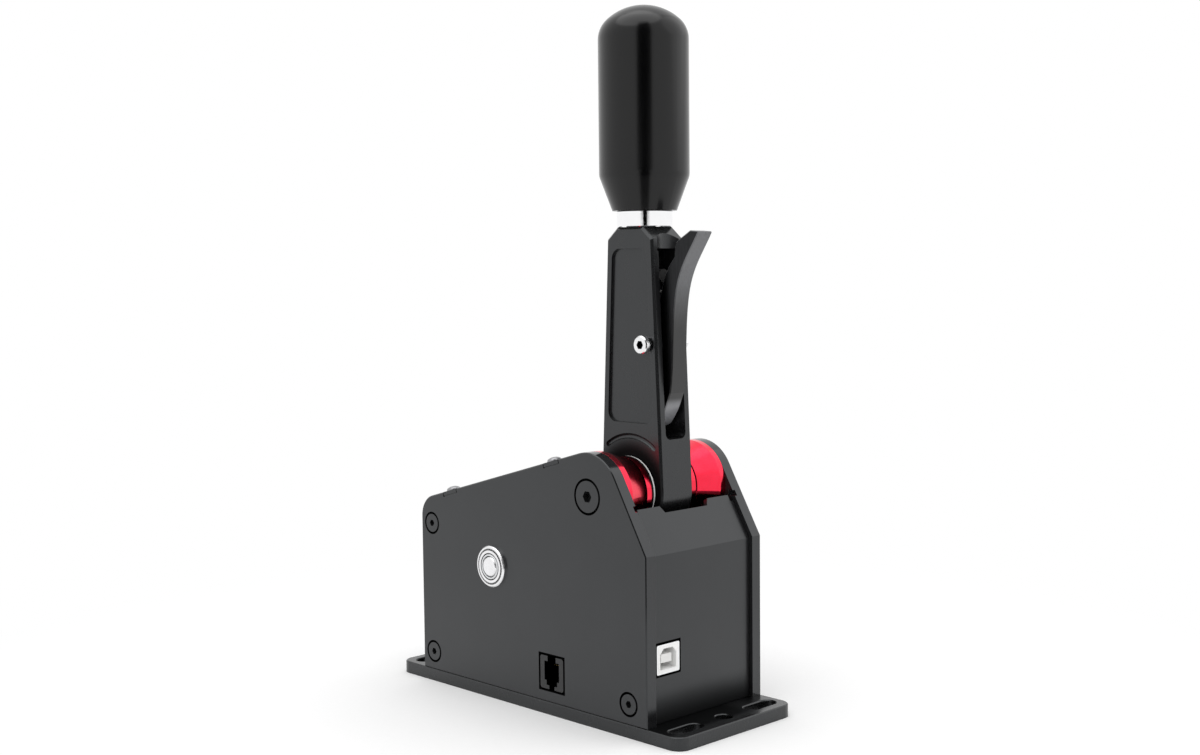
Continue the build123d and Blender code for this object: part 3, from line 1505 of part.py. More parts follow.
def all_parts():
    """Every node's name with its solid or solids."""
    inner_wall = shaft_radius + bearing_inner_wall
    outer_wall = bearing_radius - bearing_outer_wall
    seat = half_lever - bearing_width
    nut_end = fork_bridge_rear - fork_nut_length
    rear_post_x = rear_x + rear_post_inset
    front_post_x = front_x - front_post_inset
    return {
        "base_plate": base_plate(),
        "left_side_plate": side_plate(-1),
        "right_side_plate": side_plate(1),
        "front_cover": front_cover(),
        "top_cover": top_cover(),
        "rear_cover": rear_cover(),
        "rear_upper_post": cross_post(rear_post_x, high_post_height(), 0),
        "rear_lower_post": cross_post(rear_post_x, low_post_height, top_cover_thickness + cover_side_gap),
        "front_lower_post": cross_post(front_post_x, low_post_height, front_cover_thickness + cover_side_gap),
        "side_screws": side_screws(),
        "pivot_screws": pivot_screws(),
        "base_screws": base_screws(),
        "block_screws": block_screws(),
        "ear_screws": ear_screws(),
        "pivot_shaft": pivot_shaft(),
        "left_hub": hub(-1),
        "right_hub": hub(1),
        "hub_washers": pair(hub_washer),
        "bearing_inner_rings": pair(bearing_ring, shaft_radius, inner_wall),
        "bearing_outer_rings": pair(bearing_ring, outer_wall, bearing_radius),
        "bearing_balls": bearing_balls(-1) + bearing_balls(1),
        "bearing_spacer": ring_y(shaft_radius + running_gap, inner_wall, pivot_x, -seat, seat, pivot_z),
        "lever_body": lever_body(),
        "lever_stud": lever_stud(),
        "grip_collar": grip_collar(),
        "grip": grip(),
        "trigger": trigger(),
        "trigger_pin": trigger_pin(),
        "trigger_nut": trigger_nut(),
        "trigger_spring": trigger_spring(),
        "trigger_magnet": trigger_magnet(),
        "trigger_sensor": trigger_sensor(),
        "trigger_pads": trigger_pads(),
        "shift_rod": shift_rod(),
        "rod_fork": rod_fork(),
        "fork_nut": hex_nut_on_x(fork_nut_flats, rod_radius, nut_end, fork_bridge_rear, 0, rod_z),
        "fork_pin": fork_pin(),
        "pin_clips": pin_clips(),
        "rod_collar": rod_collar(),
        "collar_screw": collar_screw(),
        "shift_magnet": shift_magnet(),
        "front_spring_block": spring_block(block_inner_front, block_front_x),
        "rear_spring_block": spring_block(block_rear_x, block_inner_rear),
        "rod_bushes": [
            rod_bush(block_inner_front, block_front_x, spring_front_end, block_inner_front),
            rod_bush(block_rear_x, block_inner_rear, block_inner_rear, spring_rear_end),
        ],
        "front_spring": centring_spring(collar_front, spring_front_end),
        "rear_spring": centring_spring(spring_rear_end, collar_rear),
        "stop_sleeves": stop_sleeves(),
        "button_bezel": button_bezel(),
        "button_barrel": button_barrel(),
        "button_ring": button_ring(),
        "button_cap": button_cap(),
        "button_spring": button_spring(),
        "button_nut": button_nut(),
        "modular_socket": modular_socket(),
        "socket_contacts": socket_contacts(),
        "usb_shell": usb_shell(),
        "usb_tongue": usb_tongue(),
        "control_board": [control_board()] + board_posts() + board_screws() + board_components(),
        "sensor_board": [sensor_board()] + sensor_posts(),
        "socket_board": [socket_board()] + socket_board_posts(),
    }


def solids_of(shape):
    """The solids of a piece or of a list of pieces."""
    pieces = shape if isinstance(shape, list) else [shape]
    return [solid for piece in pieces for solid in piece.solids()]


os.makedirs("parts", exist_ok=True)
for name, shape in all_parts().items():
    export_step(Compound(children=solids_of(shape)), f"parts/{name}.step")
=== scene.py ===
"""Looks of a single-lever sequential shifter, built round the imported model.

Objects are in metres. Materials measure in millimetres, in the same frame.
"""

import math

import bpy
from mathutils import Matrix, Vector


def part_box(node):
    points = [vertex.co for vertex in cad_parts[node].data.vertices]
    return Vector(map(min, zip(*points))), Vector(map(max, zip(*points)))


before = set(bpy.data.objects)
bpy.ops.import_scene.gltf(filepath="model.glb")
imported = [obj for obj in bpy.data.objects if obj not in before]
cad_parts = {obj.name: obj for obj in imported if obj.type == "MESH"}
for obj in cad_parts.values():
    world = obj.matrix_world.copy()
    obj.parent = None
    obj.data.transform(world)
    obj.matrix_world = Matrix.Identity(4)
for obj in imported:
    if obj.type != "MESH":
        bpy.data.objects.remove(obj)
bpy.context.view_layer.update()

millimetre = 0.001
per_mm = 1.0 / millimetre


def add_object(name, data):
    """A new object of the scene, at the origin."""
    thing = bpy.data.objects.new(name, data)
    bpy.context.scene.collection.objects.link(thing)
    return thing


def make_camera():
    """The camera, set from the photograph's straight edges. It gives the direction it looks in."""
    yaw, pitch, roll = (math.radians(degrees) for degrees in (45.686, 4.032, -0.577))
    place = Vector((0.439436, -0.419494, 0.170565))
    flat = math.cos(pitch)
    ahead = Vector((-math.sin(yaw) * flat, math.cos(yaw) * flat, -math.sin(pitch)))
    level = Vector((math.cos(yaw), math.sin(yaw), 0.0))
    upward = level.cross(ahead)
    right = level * math.cos(roll) + upward * math.sin(roll)
    up = upward * math.cos(roll) - level * math.sin(roll)
    data = bpy.data.cameras.new("camera")
    data.sensor_width = 36.0
    data.lens = 45.698
    data.clip_start = 0.01
    data.clip_end = 200.0
    camera = add_object("camera", data)
    turn = Matrix((right, up, -ahead)).transposed().to_4x4()
    camera.matrix_world = Matrix.Translation(place) @ turn
    bpy.context.scene.camera = camera
    return ahead


camera_ahead = make_camera()
bpy.context.scene.view_settings.view_transform = "Standard"


class Paint:
    """A material made node by node, with its details in object coordinates, in millimetres."""

    def __init__(self, name):
        self.material = bpy.data.materials.new(name)
        self.material.use_nodes = True
        self.tree = self.material.node_tree
        self.tree.nodes.clear()
        self.shader = self.node("ShaderNodeBsdfPrincipled")
        self.output = self.node("ShaderNodeOutputMaterial")
        self.link(self.shader.outputs[0], self.output.inputs[0])
        coordinates = self.node("ShaderNodeTexCoord")
        scale = self.node("ShaderNodeVectorMath")
        scale.operation = "SCALE"
        scale.inputs["Scale"].default_value = per_mm
        self.link(coordinates.outputs["Object"], scale.inputs[0])
        self.place = scale.outputs[0]
        self.split = None

    def node(self, kind):
        return self.tree.nodes.new(kind)

    def link(self, start, end):
        self.tree.links.new(start, end)

    def give(self, value, socket):
        """Sets a socket to a number or a colour, or links an output to it."""
        if isinstance(value, (int, float)):
            socket.default_value = value
        elif isinstance(value, tuple):
            socket.default_value = (*value, 1.0)
        else:
            self.link(value, socket)

    def surface(self, **values):
        """Gives the shader's sockets their values, with _ for the spaces in their names."""
        for name, value in values.items():
            self.give(value, self.shader.inputs[name.replace("_", " ")])

    def along(self, axis):
        """The place along "X", "Y" or "Z"."""
        if self.split is None:
            self.split = self.node("ShaderNodeSeparateXYZ")
            self.link(self.place, self.split.inputs[0])
        return self.split.outputs[axis]

    def maths(self, operation, *values):
        node = self.node("ShaderNodeMath")
        node.operation = operation
        for value, socket in zip(values, node.inputs):
            self.give(value, socket)
        return node.outputs[0]

    def times(self, first, second):
        return self.maths("MULTIPLY", first, second)

    def larger(self, first, second):
        return self.maths("MAXIMUM", first, second)

    def distance(self, value, middle=0.0):
        """How far value is from middle, either way."""
        return self.maths("ABSOLUTE", self.maths("SUBTRACT", value, middle))

    def radius(self, axes, centre=(0.0, 0.0)):
        """How far a point is from centre in the plane of two axes, such as "XZ"."""
        first = self.maths("SUBTRACT", self.along(axes[0]), centre[0])
        second = self.maths("SUBTRACT", self.along(axes[1]), centre[1])
        squares = self.maths("ADD", self.times(first, first), self.times(second, second))
        return self.maths("SQRT", squares)

    def between(self, value, low, high):
        """value from 0 to 1, spread from low to high."""
        node = self.node("ShaderNodeMapRange")
        node.inputs["To Min"].default_value = low
        node.inputs["To Max"].default_value = high
        self.link(value, node.inputs["Value"])
        return node.outputs[0]

    def above(self, value, low, high):
        """0 under low, 1 over high, smooth between them."""
        node = self.node("ShaderNodeMapRange")
        node.interpolation_type = "SMOOTHSTEP"
        node.inputs["From Min"].default_value = low
        node.inputs["From Max"].default_value = high
        self.link(value, node.inputs["Value"])
        return node.outputs[0]

    def below(self, value, low, high):
        """1 under low, 0 over high, smooth between them."""
        return self.maths("SUBTRACT", 1.0, self.above(value, low, high))

    def waves(self, value, pitch):
        """Even waves along value from 0 to 1, a pitch apart."""
        wave = self.maths("SINE", self.times(value, 2 * math.pi / pitch))
        return self.maths("MULTIPLY_ADD", wave, 0.5, 0.5)

    def noise(self, size, detail=2.0, roughness=0.5, stretch=None):
        """A noise from 0 to 1, its grains about size wide, and longer where stretch is under 1."""
        place = self.place
        if stretch:
            node = self.node("ShaderNodeVectorMath")
            node.operation = "MULTIPLY"
            node.inputs[1].default_value = stretch
            self.link(place, node.inputs[0])
            place = node.outputs[0]
        node = self.node("ShaderNodeTexNoise")
        node.inputs["Scale"].default_value = 1.0 / size
        node.inputs["Detail"].default_value = detail
        node.inputs["Roughness"].default_value = roughness
        self.link(place, node.inputs["Vector"])
        return node.outputs[0]

    def ramp(self, value, low, high, start=0.3, end=0.7):
        """The colour low where value is under start, high over end, and a blend between them."""
        node = self.node("ShaderNodeValToRGB")
        for element, position, colour in zip(node.color_ramp.elements, (start, end), (low, high)):
            element.position = position
            element.color = (*colour, 1.0)
        self.link(value, node.inputs[0])
        return node.outputs[0]

    def mix(self, share, first, second, blend="MIX"):
        node = self.node("ShaderNodeMix")
        node.data_type = "RGBA"
        node.blend_type = blend
        share_socket, first_colour, second_colour = 0, 6, 7
        for value, index in ((share, share_socket), (first, first_colour), (second, second_colour)):
            self.give(value, node.inputs[index])
        return node.outputs[2]

    def relief(self, height, depth, edge=0.0):
        """Small relief: height 0 to 1 times depth, over edges rounded by edge."""
        bump = self.node("ShaderNodeBump")
        bump.inputs["Strength"].default_value = 1.0
        bump.inputs["Distance"].default_value = depth * millimetre
        self.link(height, bump.inputs["Height"])
        if edge:
            round_edge = self.node("ShaderNodeBevel")
            round_edge.samples = 6
            round_edge.inputs["Radius"].default_value = edge * millimetre
            self.link(round_edge.outputs[0], bump.inputs["Normal"])
        self.surface(Normal=bump.outputs[0])


def even(value):
    return (value, value, value)


def grey(value):
    """A grey with a trace of blue."""
    return (value, value * 1.02, value * 1.08)


def varied(colour, share):
    """The colour made darker and lighter by a share of itself."""
    return [tuple(part * scale for part in colour) for scale in (1 - share, 1 + share)]


def box_mm(node):
    """A node's lowest and highest corners, each a value for "X", "Y" and "Z"."""
    return [dict(zip("XYZ", (value * per_mm for value in corner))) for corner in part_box(node)]


def middle_of(node, axes):
    """The middle of a node's box along two axes."""
    low, high = box_mm(node)
    return tuple((low[axis] + high[axis]) / 2 for axis in axes)


# Where masks and turning marks lie
pivot = (35.0, 86.75)
button_axis = (-19.8, 53.5)
usb_middle = (-19.1, 28.725)
cover_face = 63.35
socket_face = -31.85
# How far past a socket's box the painted shade round its opening reaches
opening_shade_reach = 0.95

# Painted shade: the near black given to places painted as lit by nothing
painted_shade_black = even(0.001)


def inside_circle(paint, axes, centre, radius):
    """1 within radius of the centre in the plane of two axes, 0 outside it."""
    return paint.maths("LESS_THAN", paint.radius(axes, centre), radius)


def inside_opening(paint, node, axes):
    """1 within a node's box and the reach round it of the painted shade at its opening, 0 outside
    that.
    """
    low, high = box_mm(node)
    near = []
    for axis, middle in zip(axes, middle_of(node, axes)):
        half = (high[axis] - low[axis]) / 2 + opening_shade_reach
        near.append(paint.maths("LESS_THAN", paint.distance(paint.along(axis), middle), half))
    return paint.times(*near)


def turned_about_y(paint, radius, pitch):
    """Fine rings about an axis along Y, on the faces square to it and on those round it."""
    return paint.waves(paint.maths("ADD", radius, paint.along("Y")), pitch)


def plate_hole_shade(paint):
    """Painted shade: the countersinks and the socket's opening in the side plates, painted black.
    """
    head_radius, pivot_reach, side_reach = 3.75, 6.92, 4.66
    low, high = box_mm("side_screws")
    left, right = low["X"] + head_radius, high["X"] - head_radius
    bottom, top = low["Z"] + head_radius, high["Z"] - head_radius
    share = inside_circle(paint, "XZ", middle_of("pivot_screws", "XZ"), pivot_reach)
    for centre in ((left, top), (left, bottom), (right, bottom)):
        share = paint.larger(share, inside_circle(paint, "XZ", centre, side_reach))
    near_side = paint.maths("LESS_THAN", paint.along("Y"), 0.0)
    socket = inside_opening(paint, "modular_socket", "XZ")
    return paint.larger(share, paint.times(socket, near_side))


def plate_edges(paint):
    """The milled edges of the side plates: what lies between their two faces."""
    low, high = box_mm("left_side_plate")
    middle, half = (low["Y"] + high["Y"]) / 2, (high["Y"] - low["Y"]) / 2
    skin = 0.1
    away = paint.distance(paint.distance(paint.along("Y")), abs(middle))
    return paint.maths("LESS_THAN", away, half - skin)


def cover_shade(paint):
    """Painted shade on the front cover: round the USB socket's opening, and on the cover's foot,
    which fades to black.
    """
    foot_start, foot_end, foot_share = 4.0, 18.0, 0.8
    foot = paint.times(paint.below(paint.along("Z"), foot_start, foot_end), foot_share)
    front = paint.maths("GREATER_THAN", paint.along("X"), 0.0)
    return paint.times(front, paint.larger(foot, inside_opening(paint, "usb_shell", "YZ")))


def base_shade_before_cover(paint):
    """The strip of the base's top before the front cover, which the photograph shows as black:
    painted shade there, black and matt.
    """
    under_top, behind_strip, most = 4.9, 60.0, 0.9
    fade_front = (74.0, 81.0)
    fade_side = (8.0, 28.0)
    top = paint.maths("GREATER_THAN", paint.along("Z"), under_top)
    ahead = paint.maths("GREATER_THAN", paint.along("X"), behind_strip)
    near = paint.below(paint.along("X"), *fade_front)
    inner = paint.below(paint.along("Y"), *fade_side)
    return paint.times(paint.times(paint.times(near, inner), paint.times(top, ahead)), most)


def lever_shade_beside_hubs(paint):
    """The lever's sides round the pivot, which the photograph shows as black: painted shade there,
    black and matt.
    """
    fade_start, fade_end, under_side, most = 14.5, 22.5, 8.6, 0.85
    radius = paint.radius("XZ", middle_of("pivot_shaft", "XZ"))
    near = paint.below(radius, fade_start, fade_end)
    side = paint.maths("GREATER_THAN", paint.distance(paint.along("Y")), under_side)
    return paint.times(paint.times(near, side), most)


def satin_black(
    name, level, rough, grain, depth, edge, specular=0.62, cloud=0.12, painted_shade=None, sleek=None,
):
    """Black anodised or coated metal: a fine grain, faint clouds and slightly uneven gloss.

    painted_shade gives the share of a place painted black and matt as shade, sleek the share that
    is milled smooth.
    """
    uneven, dull_rough, milled_rough = 0.05, 0.55, 0.15
    paint = Paint(name)
    clouds = paint.noise(26.0, detail=3.0, roughness=0.55)
    fine = paint.noise(grain, roughness=0.6)
    scuffs = paint.noise(7.0, detail=4.0, roughness=0.65, stretch=(1.0, 1.0, 0.35))
    tone = paint.ramp(clouds, *varied(grey(level), cloud))
    # The share ends at 1: the noise's upper half is an even ground, and the rest faint specks
    specks = paint.mix(paint.between(fine, 0.9, 1.1), even(0.88), even(1.12))
    shade = paint.mix(1.0, tone, specks, "MULTIPLY")
    gloss = paint.between(scuffs, rough - uneven, rough + uneven)
    if painted_shade:
        # Painted shade: a metal this dark sends no light back, unlike a coat
        share = painted_shade(paint)
        shade = paint.mix(share, shade, painted_shade_black)
        gloss = paint.maths("MULTIPLY_ADD", share, dull_rough, gloss)
        paint.surface(Metallic=share)
    if sleek:
        gloss = paint.maths("SUBTRACT", gloss, paint.times(sleek(paint), rough - milled_rough))
    paint.surface(
        Base_Color=shade,
        Roughness=gloss,
        Specular_IOR_Level=specular,
        Specular_Tint=(0.94, 0.97, 1.0),
    )
    paint.relief(fine, depth, edge)
    return paint.material


def turned_black(name):
    """The grip: black anodised on a lathe, with very fine rings along its length."""
    paint = Paint(name)
    rings = paint.noise(0.22, stretch=(0.02, 0.02, 1.0))
    clouds = paint.noise(20.0, detail=3.0)
    fine = paint.noise(0.3, roughness=0.6)
    scuffs = paint.noise(9.0, detail=4.0, roughness=0.6, stretch=(1.0, 1.0, 0.3))
    paint.surface(
        Base_Color=paint.ramp(clouds, (0.0012, 0.0012, 0.0014), (0.0020, 0.0020, 0.0023)),
        Roughness=paint.between(scuffs, 0.17, 0.23),
        Specular_IOR_Level=0.38,
    )
    paint.relief(paint.maths("MULTIPLY_ADD", fine, 0.6, rings), depth=0.0035, edge=0.15)
    return paint.material


def metal(name, colour, rough, grain=0.25, depth=0.0015, vary=0.05, edge=0.08, stretch=None):
    """Bare or plated metal with fine brush marks or grain."""
    paint = Paint(name)
    marks = paint.noise(grain, detail=3.0, roughness=0.6, stretch=stretch)
    clouds = paint.noise(6.0, detail=3.0, roughness=0.55)
    paint.surface(
        Base_Color=paint.ramp(clouds, *varied(colour, vary)),
        Roughness=paint.between(marks, rough - 0.05, rough + 0.06),
        Metallic=1.0,
    )
    paint.relief(marks, depth, edge)
    return paint.material


def plastic(name, colour, rough, grain=0.35, depth=0.004):
    """Moulded plastic with a fine spark-eroded texture."""
    paint = Paint(name)
    fine = paint.noise(grain, roughness=0.6)
    clouds = paint.noise(8.0)
    paint.surface(
        Base_Color=paint.ramp(clouds, *varied(colour, 0.06)),
        Roughness=paint.between(fine, rough - 0.04, rough + 0.06),
    )
    paint.relief(fine, depth, edge=0.1)
    return paint.material


def red_anodised(name):
    """The hubs: bright red dye over turned aluminium, clear and glossy, with a groove darkened by
    painted shade.
    """
    paint = Paint(name)
    rings = turned_about_y(paint, paint.radius("XZ", pivot), pitch=0.24)
    grain = paint.noise(0.3, roughness=0.6)
    clouds = paint.noise(5.0, detail=3.0)
    dye = paint.ramp(clouds, (0.92, 0.016, 0.052), (0.98, 0.024, 0.068))
    # Painted shade: the groove is painted near black
    groove_place, groove_half = 13.75, 0.28
    away = paint.distance(paint.distance(paint.along("Y")), groove_place)
    groove = paint.maths("LESS_THAN", away, groove_half)
    paint.surface(
        Base_Color=paint.mix(groove, dye, (0.012, 0.001, 0.002)),
        Roughness=paint.between(grain, 0.13, 0.2),
        Metallic=1.0,
        Coat_Weight=0.35,
        Coat_Roughness=0.12,
        Coat_IOR=1.5,
    )
    paint.relief(paint.maths("MULTIPLY_ADD", grain, 0.5, rings), depth=0.002, edge=0.12)
    return paint.material


def shell_look(name):
    """The USB socket: a thin tin-plated skin round a white insulator, with painted shade making the
    skin black within the cover.
    """
    paint = Paint(name)
    half_width, half_height, blur = 5.55, 5.03, 0.05
    side = paint.distance(paint.along("Y"), usb_middle[0])
    rise = paint.distance(paint.along("Z"), usb_middle[1])
    beside = paint.above(side, half_width, half_width + blur)
    over = paint.above(rise, half_height, half_height + blur)
    skin = paint.larger(beside, over)
    # Painted shade: the skin inside the cover is painted black
    behind = paint.times(skin, paint.maths("LESS_THAN", paint.along("X"), cover_face))
    grain = paint.noise(0.25, roughness=0.6)
    plated = paint.ramp(grain, (0.86, 0.87, 0.88), (0.94, 0.95, 0.96))
    moulded = paint.ramp(paint.noise(2.0), (0.93, 0.93, 0.92), (0.96, 0.96, 0.95))
    paint.surface(
        Base_Color=paint.mix(behind, paint.mix(skin, moulded, plated), painted_shade_black),
        Roughness=paint.between(grain, 0.24, 0.34),
        Metallic=skin,
    )
    paint.relief(grain, depth=0.0015, edge=0.06)
    return paint.material


def socket_look(name):
    """The modular socket's moulding: satin black face, with painted shade making its mouth and
    sides black.
    """
    paint = Paint(name)
    # Painted shade: all that lies deeper than the face is painted black
    deep = paint.above(paint.along("Y"), socket_face, socket_face + 0.1)
    fine = paint.noise(0.35, roughness=0.6)
    face = paint.ramp(fine, grey(0.010), grey(0.014))
    paint.surface(
        Base_Color=paint.mix(deep, face, painted_shade_black),
        Roughness=paint.between(fine, 0.33, 0.43),
        Metallic=deep,
    )
    paint.relief(fine, depth=0.004, edge=0.08)
    return paint.material


def washer_look(name):
    """A white wear ring next to the lever, painted black on its far side as shade for the gap
    there.
    """
    gap_shade_start, gap_shade_end = 9.84, 9.88
    paint = Paint(name)
    gap_shade = paint.above(paint.distance(paint.along("Y")), gap_shade_start, gap_shade_end)
    grain = paint.noise(0.3, roughness=0.6)
    white = paint.ramp(grain, (0.88, 0.88, 0.87), (0.92, 0.92, 0.91))
    black = paint.ramp(grain, even(0.003), even(0.006))
    paint.surface(
        Base_Color=paint.mix(gap_shade, white, black),
        Roughness=paint.between(grain, 0.34, 0.46),
    )
    paint.relief(grain, depth=0.002, edge=0.06)
    return paint.material


def trigger_look(name):
    """Black anodised blade, brushed along its length, paler at its foot, with a painted highlight
    near its top and painted shade on its flanks.
    """
    foot_range, tip_range = (119.0, 122.5), (146.0, 172.0)
    flank_from, foot_share = 3.94, 0.4
    foot_grey = (0.3, 0.3, 0.32)
    paint = Paint(name)
    height = paint.along("Z")
    strokes = paint.noise(0.35, detail=3.0, roughness=0.65, stretch=(1.0, 1.0, 0.06))
    clouds = paint.noise(8.0, detail=3.0, roughness=0.55)
    foot = paint.below(height, *foot_range)
    # Painted highlight near the top of the blade, in patches
    tip = paint.times(paint.above(height, *tip_range), paint.between(clouds, 0.7, 1.0))
    # Painted shade: the flanks are a dark metal, darker than the front
    flank = paint.maths("GREATER_THAN", paint.distance(paint.along("Y")), flank_from)
    fresh = paint.ramp(strokes, grey(0.003), grey(0.009))
    paler_grey = paint.ramp(strokes, grey(0.10), grey(0.16))
    sides = paint.ramp(strokes, grey(0.022), grey(0.034))
    paler_foot_and_tip_highlight = paint.mix(paint.larger(foot, tip), fresh, paler_grey)
    front = paint.mix(paint.times(foot, foot_share), paler_foot_and_tip_highlight, foot_grey)
    paint.surface(
        Base_Color=paint.mix(flank, front, sides),
        Roughness=paint.between(strokes, 0.27, 0.37),
        Metallic=flank,
        Specular_IOR_Level=0.66,
    )
    paint.relief(strokes, depth=0.006, edge=0.15)
    return paint.material


def pin_look(name):
    """The trigger pin: bright steel with painted shade darkening the hexagon socket in its head."""
    socket_radius, head_rim = 1.9, 0.15
    paint = Paint(name)
    grain = paint.noise(0.25, roughness=0.6)
    steel = paint.ramp(grain, (0.84, 0.84, 0.85), (0.92, 0.92, 0.93))
    # Painted shade in the hexagon socket
    deep = paint.maths("GREATER_THAN", paint.along("Y"), box_mm("trigger_pin")[0]["Y"] + head_rim)
    middle = inside_circle(paint, "XZ", middle_of("trigger_pin", "XZ"), socket_radius)
    paint.surface(
        Base_Color=paint.mix(paint.times(deep, middle), steel, even(0.03)),
        Roughness=paint.between(grain, 0.15, 0.25),
        Metallic=1.0,
    )
    paint.relief(grain, depth=0.0015, edge=0.08)
    return paint.material


def button_look(name):
    """Bright steel faced on a lathe, with painted shade in dark lines where its rings meet and in
    its notches.
    """
    paint = Paint(name)
    radius = paint.radius("XZ", button_axis)
    clouds = paint.noise(3.0, detail=3.0)
    steel = paint.ramp(clouds, (0.84, 0.84, 0.85), (0.90, 0.90, 0.91))
    # The radius of each painted shade line, half its width, and how dark it is
    line_list = ((4.12, 0.17, 1.0), (5.22, 0.2, 1.0), (6.62, 0.06, 1.0), (6.96, 0.24, 0.72))
    blur = 0.05
    lines = 0.0
    for middle, half, share in line_list:
        line = paint.below(paint.distance(radius, middle), half, half + blur)
        lines = paint.larger(lines, paint.times(line, share))
    paint.surface(
        Base_Color=paint.mix(lines, steel, (0.012, 0.012, 0.013)),
        Roughness=paint.between(paint.noise(0.4, roughness=0.6), 0.18, 0.27),
        Metallic=1.0,
    )
    paint.relief(turned_about_y(paint, radius, pitch=0.18), depth=0.0015, edge=0.06)
    return paint.material


def circuit_board(name, low, high):
    """A green board between two heights, with brass posts under it and dark parts on top."""
    blur_start, blur_end = 0.02, 0.08
    brass = (0.5, 0.38, 0.16)
    paint = Paint(name)
    tracks = paint.node("ShaderNodeTexBrick")
    for socket, value in (
        ("Scale", 0.35),
        ("Mortar Size", 0.03),
        ("Color1", (0.012, 0.11, 0.045)),
        ("Color2", (0.014, 0.13, 0.05)),
        ("Mortar", (0.03, 0.2, 0.09)),
        ("Vector", paint.place),
    ):
        paint.give(value, tracks.inputs[socket])
    over = paint.above(paint.along("Z"), high + blur_start, high + blur_end)
    under = paint.above(paint.along("Z"), low - blur_end, low - blur_start)
    speckle = paint.noise(0.6)
    dark = paint.ramp(speckle, (0.012, 0.012, 0.013), (0.02, 0.02, 0.021))
    board = paint.mix(over, tracks.outputs[0], dark)
    paint.surface(
        Base_Color=paint.mix(under, brass, board),
        Roughness=paint.between(speckle, 0.3, 0.5),
    )
    paint.relief(speckle, depth=0.01)
    return paint.material


def coil_look(name, axis, pitch):
    """A spring's envelope with the marks of its turns and painted shade in the dark gaps between
    them.
    """
    paint = Paint(name)
    wire = paint.waves(paint.along(axis), pitch)
    scratches = paint.noise(0.3, detail=3.0, roughness=0.6)
    paint.surface(
        Base_Color=paint.ramp(wire, (0.02, 0.02, 0.022), (0.36, 0.35, 0.34), end=0.6),
        Roughness=paint.between(scratches, 0.28, 0.4),
        Metallic=1.0,
    )
    paint.relief(wire, depth=0.5)
    return paint.material


charcoal = satin_black(
    "charcoal_coat", level=0.009, rough=0.33, grain=0.22, depth=0.005, edge=0.12,
    painted_shade=plate_hole_shade, sleek=plate_edges,
)
cover_coat = satin_black(
    "cover_coat", level=0.008, rough=0.31, grain=0.22, depth=0.005, edge=0.1, painted_shade=cover_shade,
)
lever_coat = satin_black(
    "lever_coat", level=0.007, rough=0.28, grain=0.18, depth=0.004, edge=0.1, painted_shade=lever_shade_beside_hubs,
)
base_coat = satin_black(
    "base_coat", level=0.003, rough=0.27, grain=0.2, depth=0.003, edge=0.25, specular=0.66,
    painted_shade=base_shade_before_cover,
)
black_steel = satin_black(
    "black_steel", level=0.009, rough=0.33, grain=0.3, depth=0.016, edge=0.08, cloud=0.25,
)
grip_black = turned_black("grip_black")
trigger_coat = trigger_look("trigger_coat")
red = red_anodised("red_anodised")
washer_white = washer_look("washer_white")
button_metal = button_look("button_metal")
pin_steel = pin_look("pin_steel")
shell_metal = shell_look("shell_metal")
socket_plastic = socket_look("socket_plastic")

polished = metal(
    "polished_collar", (0.93, 0.93, 0.94), rough=0.10, grain=0.2, depth=0.0006, vary=0.02,
    stretch=(0.05, 0.05, 1.0),
)
spring_block = metal(
    "mill_aluminium", (0.62, 0.63, 0.64), rough=0.32, grain=0.3, depth=0.003, vary=0.06, edge=0.1,
    stretch=(0.1, 1.0, 1.0),
)
ear_steel = metal("ear_steel", (0.32, 0.32, 0.33), rough=0.28, grain=0.12, depth=0.002, vary=0.08)
bright_steel = metal("bright_steel", (0.78, 0.78, 0.79), rough=0.2)
bronze = metal("bronze", (0.50, 0.33, 0.15), rough=0.3)
magnet_plate = metal("magnet_plate", (0.6, 0.59, 0.57), rough=0.2)
contact_gold = metal("contact_gold", (0.34, 0.23, 0.08), rough=0.3)

tongue_plastic = plastic("tongue_plastic", (0.84, 0.84, 0.82), rough=0.4)
light_ring = plastic("light_ring", (0.72, 0.73, 0.74), rough=0.3)
rubber = plastic("rubber", even(0.016), rough=0.7, grain=0.5, depth=0.02)

main_board = circuit_board("main_board", low=8.4, high=10.0)
hall_board = circuit_board("hall_board", low=26.0, high=29.62)
port_board = circuit_board("port_board", low=21.65, high=23.27)
trigger_board = circuit_board("trigger_board", low=100.0, high=200.0)

long_coil = coil_look("long_coil", "X", pitch=2.6)
short_coil = coil_look("short_coil", "X", pitch=1.1)
button_coil = coil_look("button_coil", "Y", pitch=1.0)

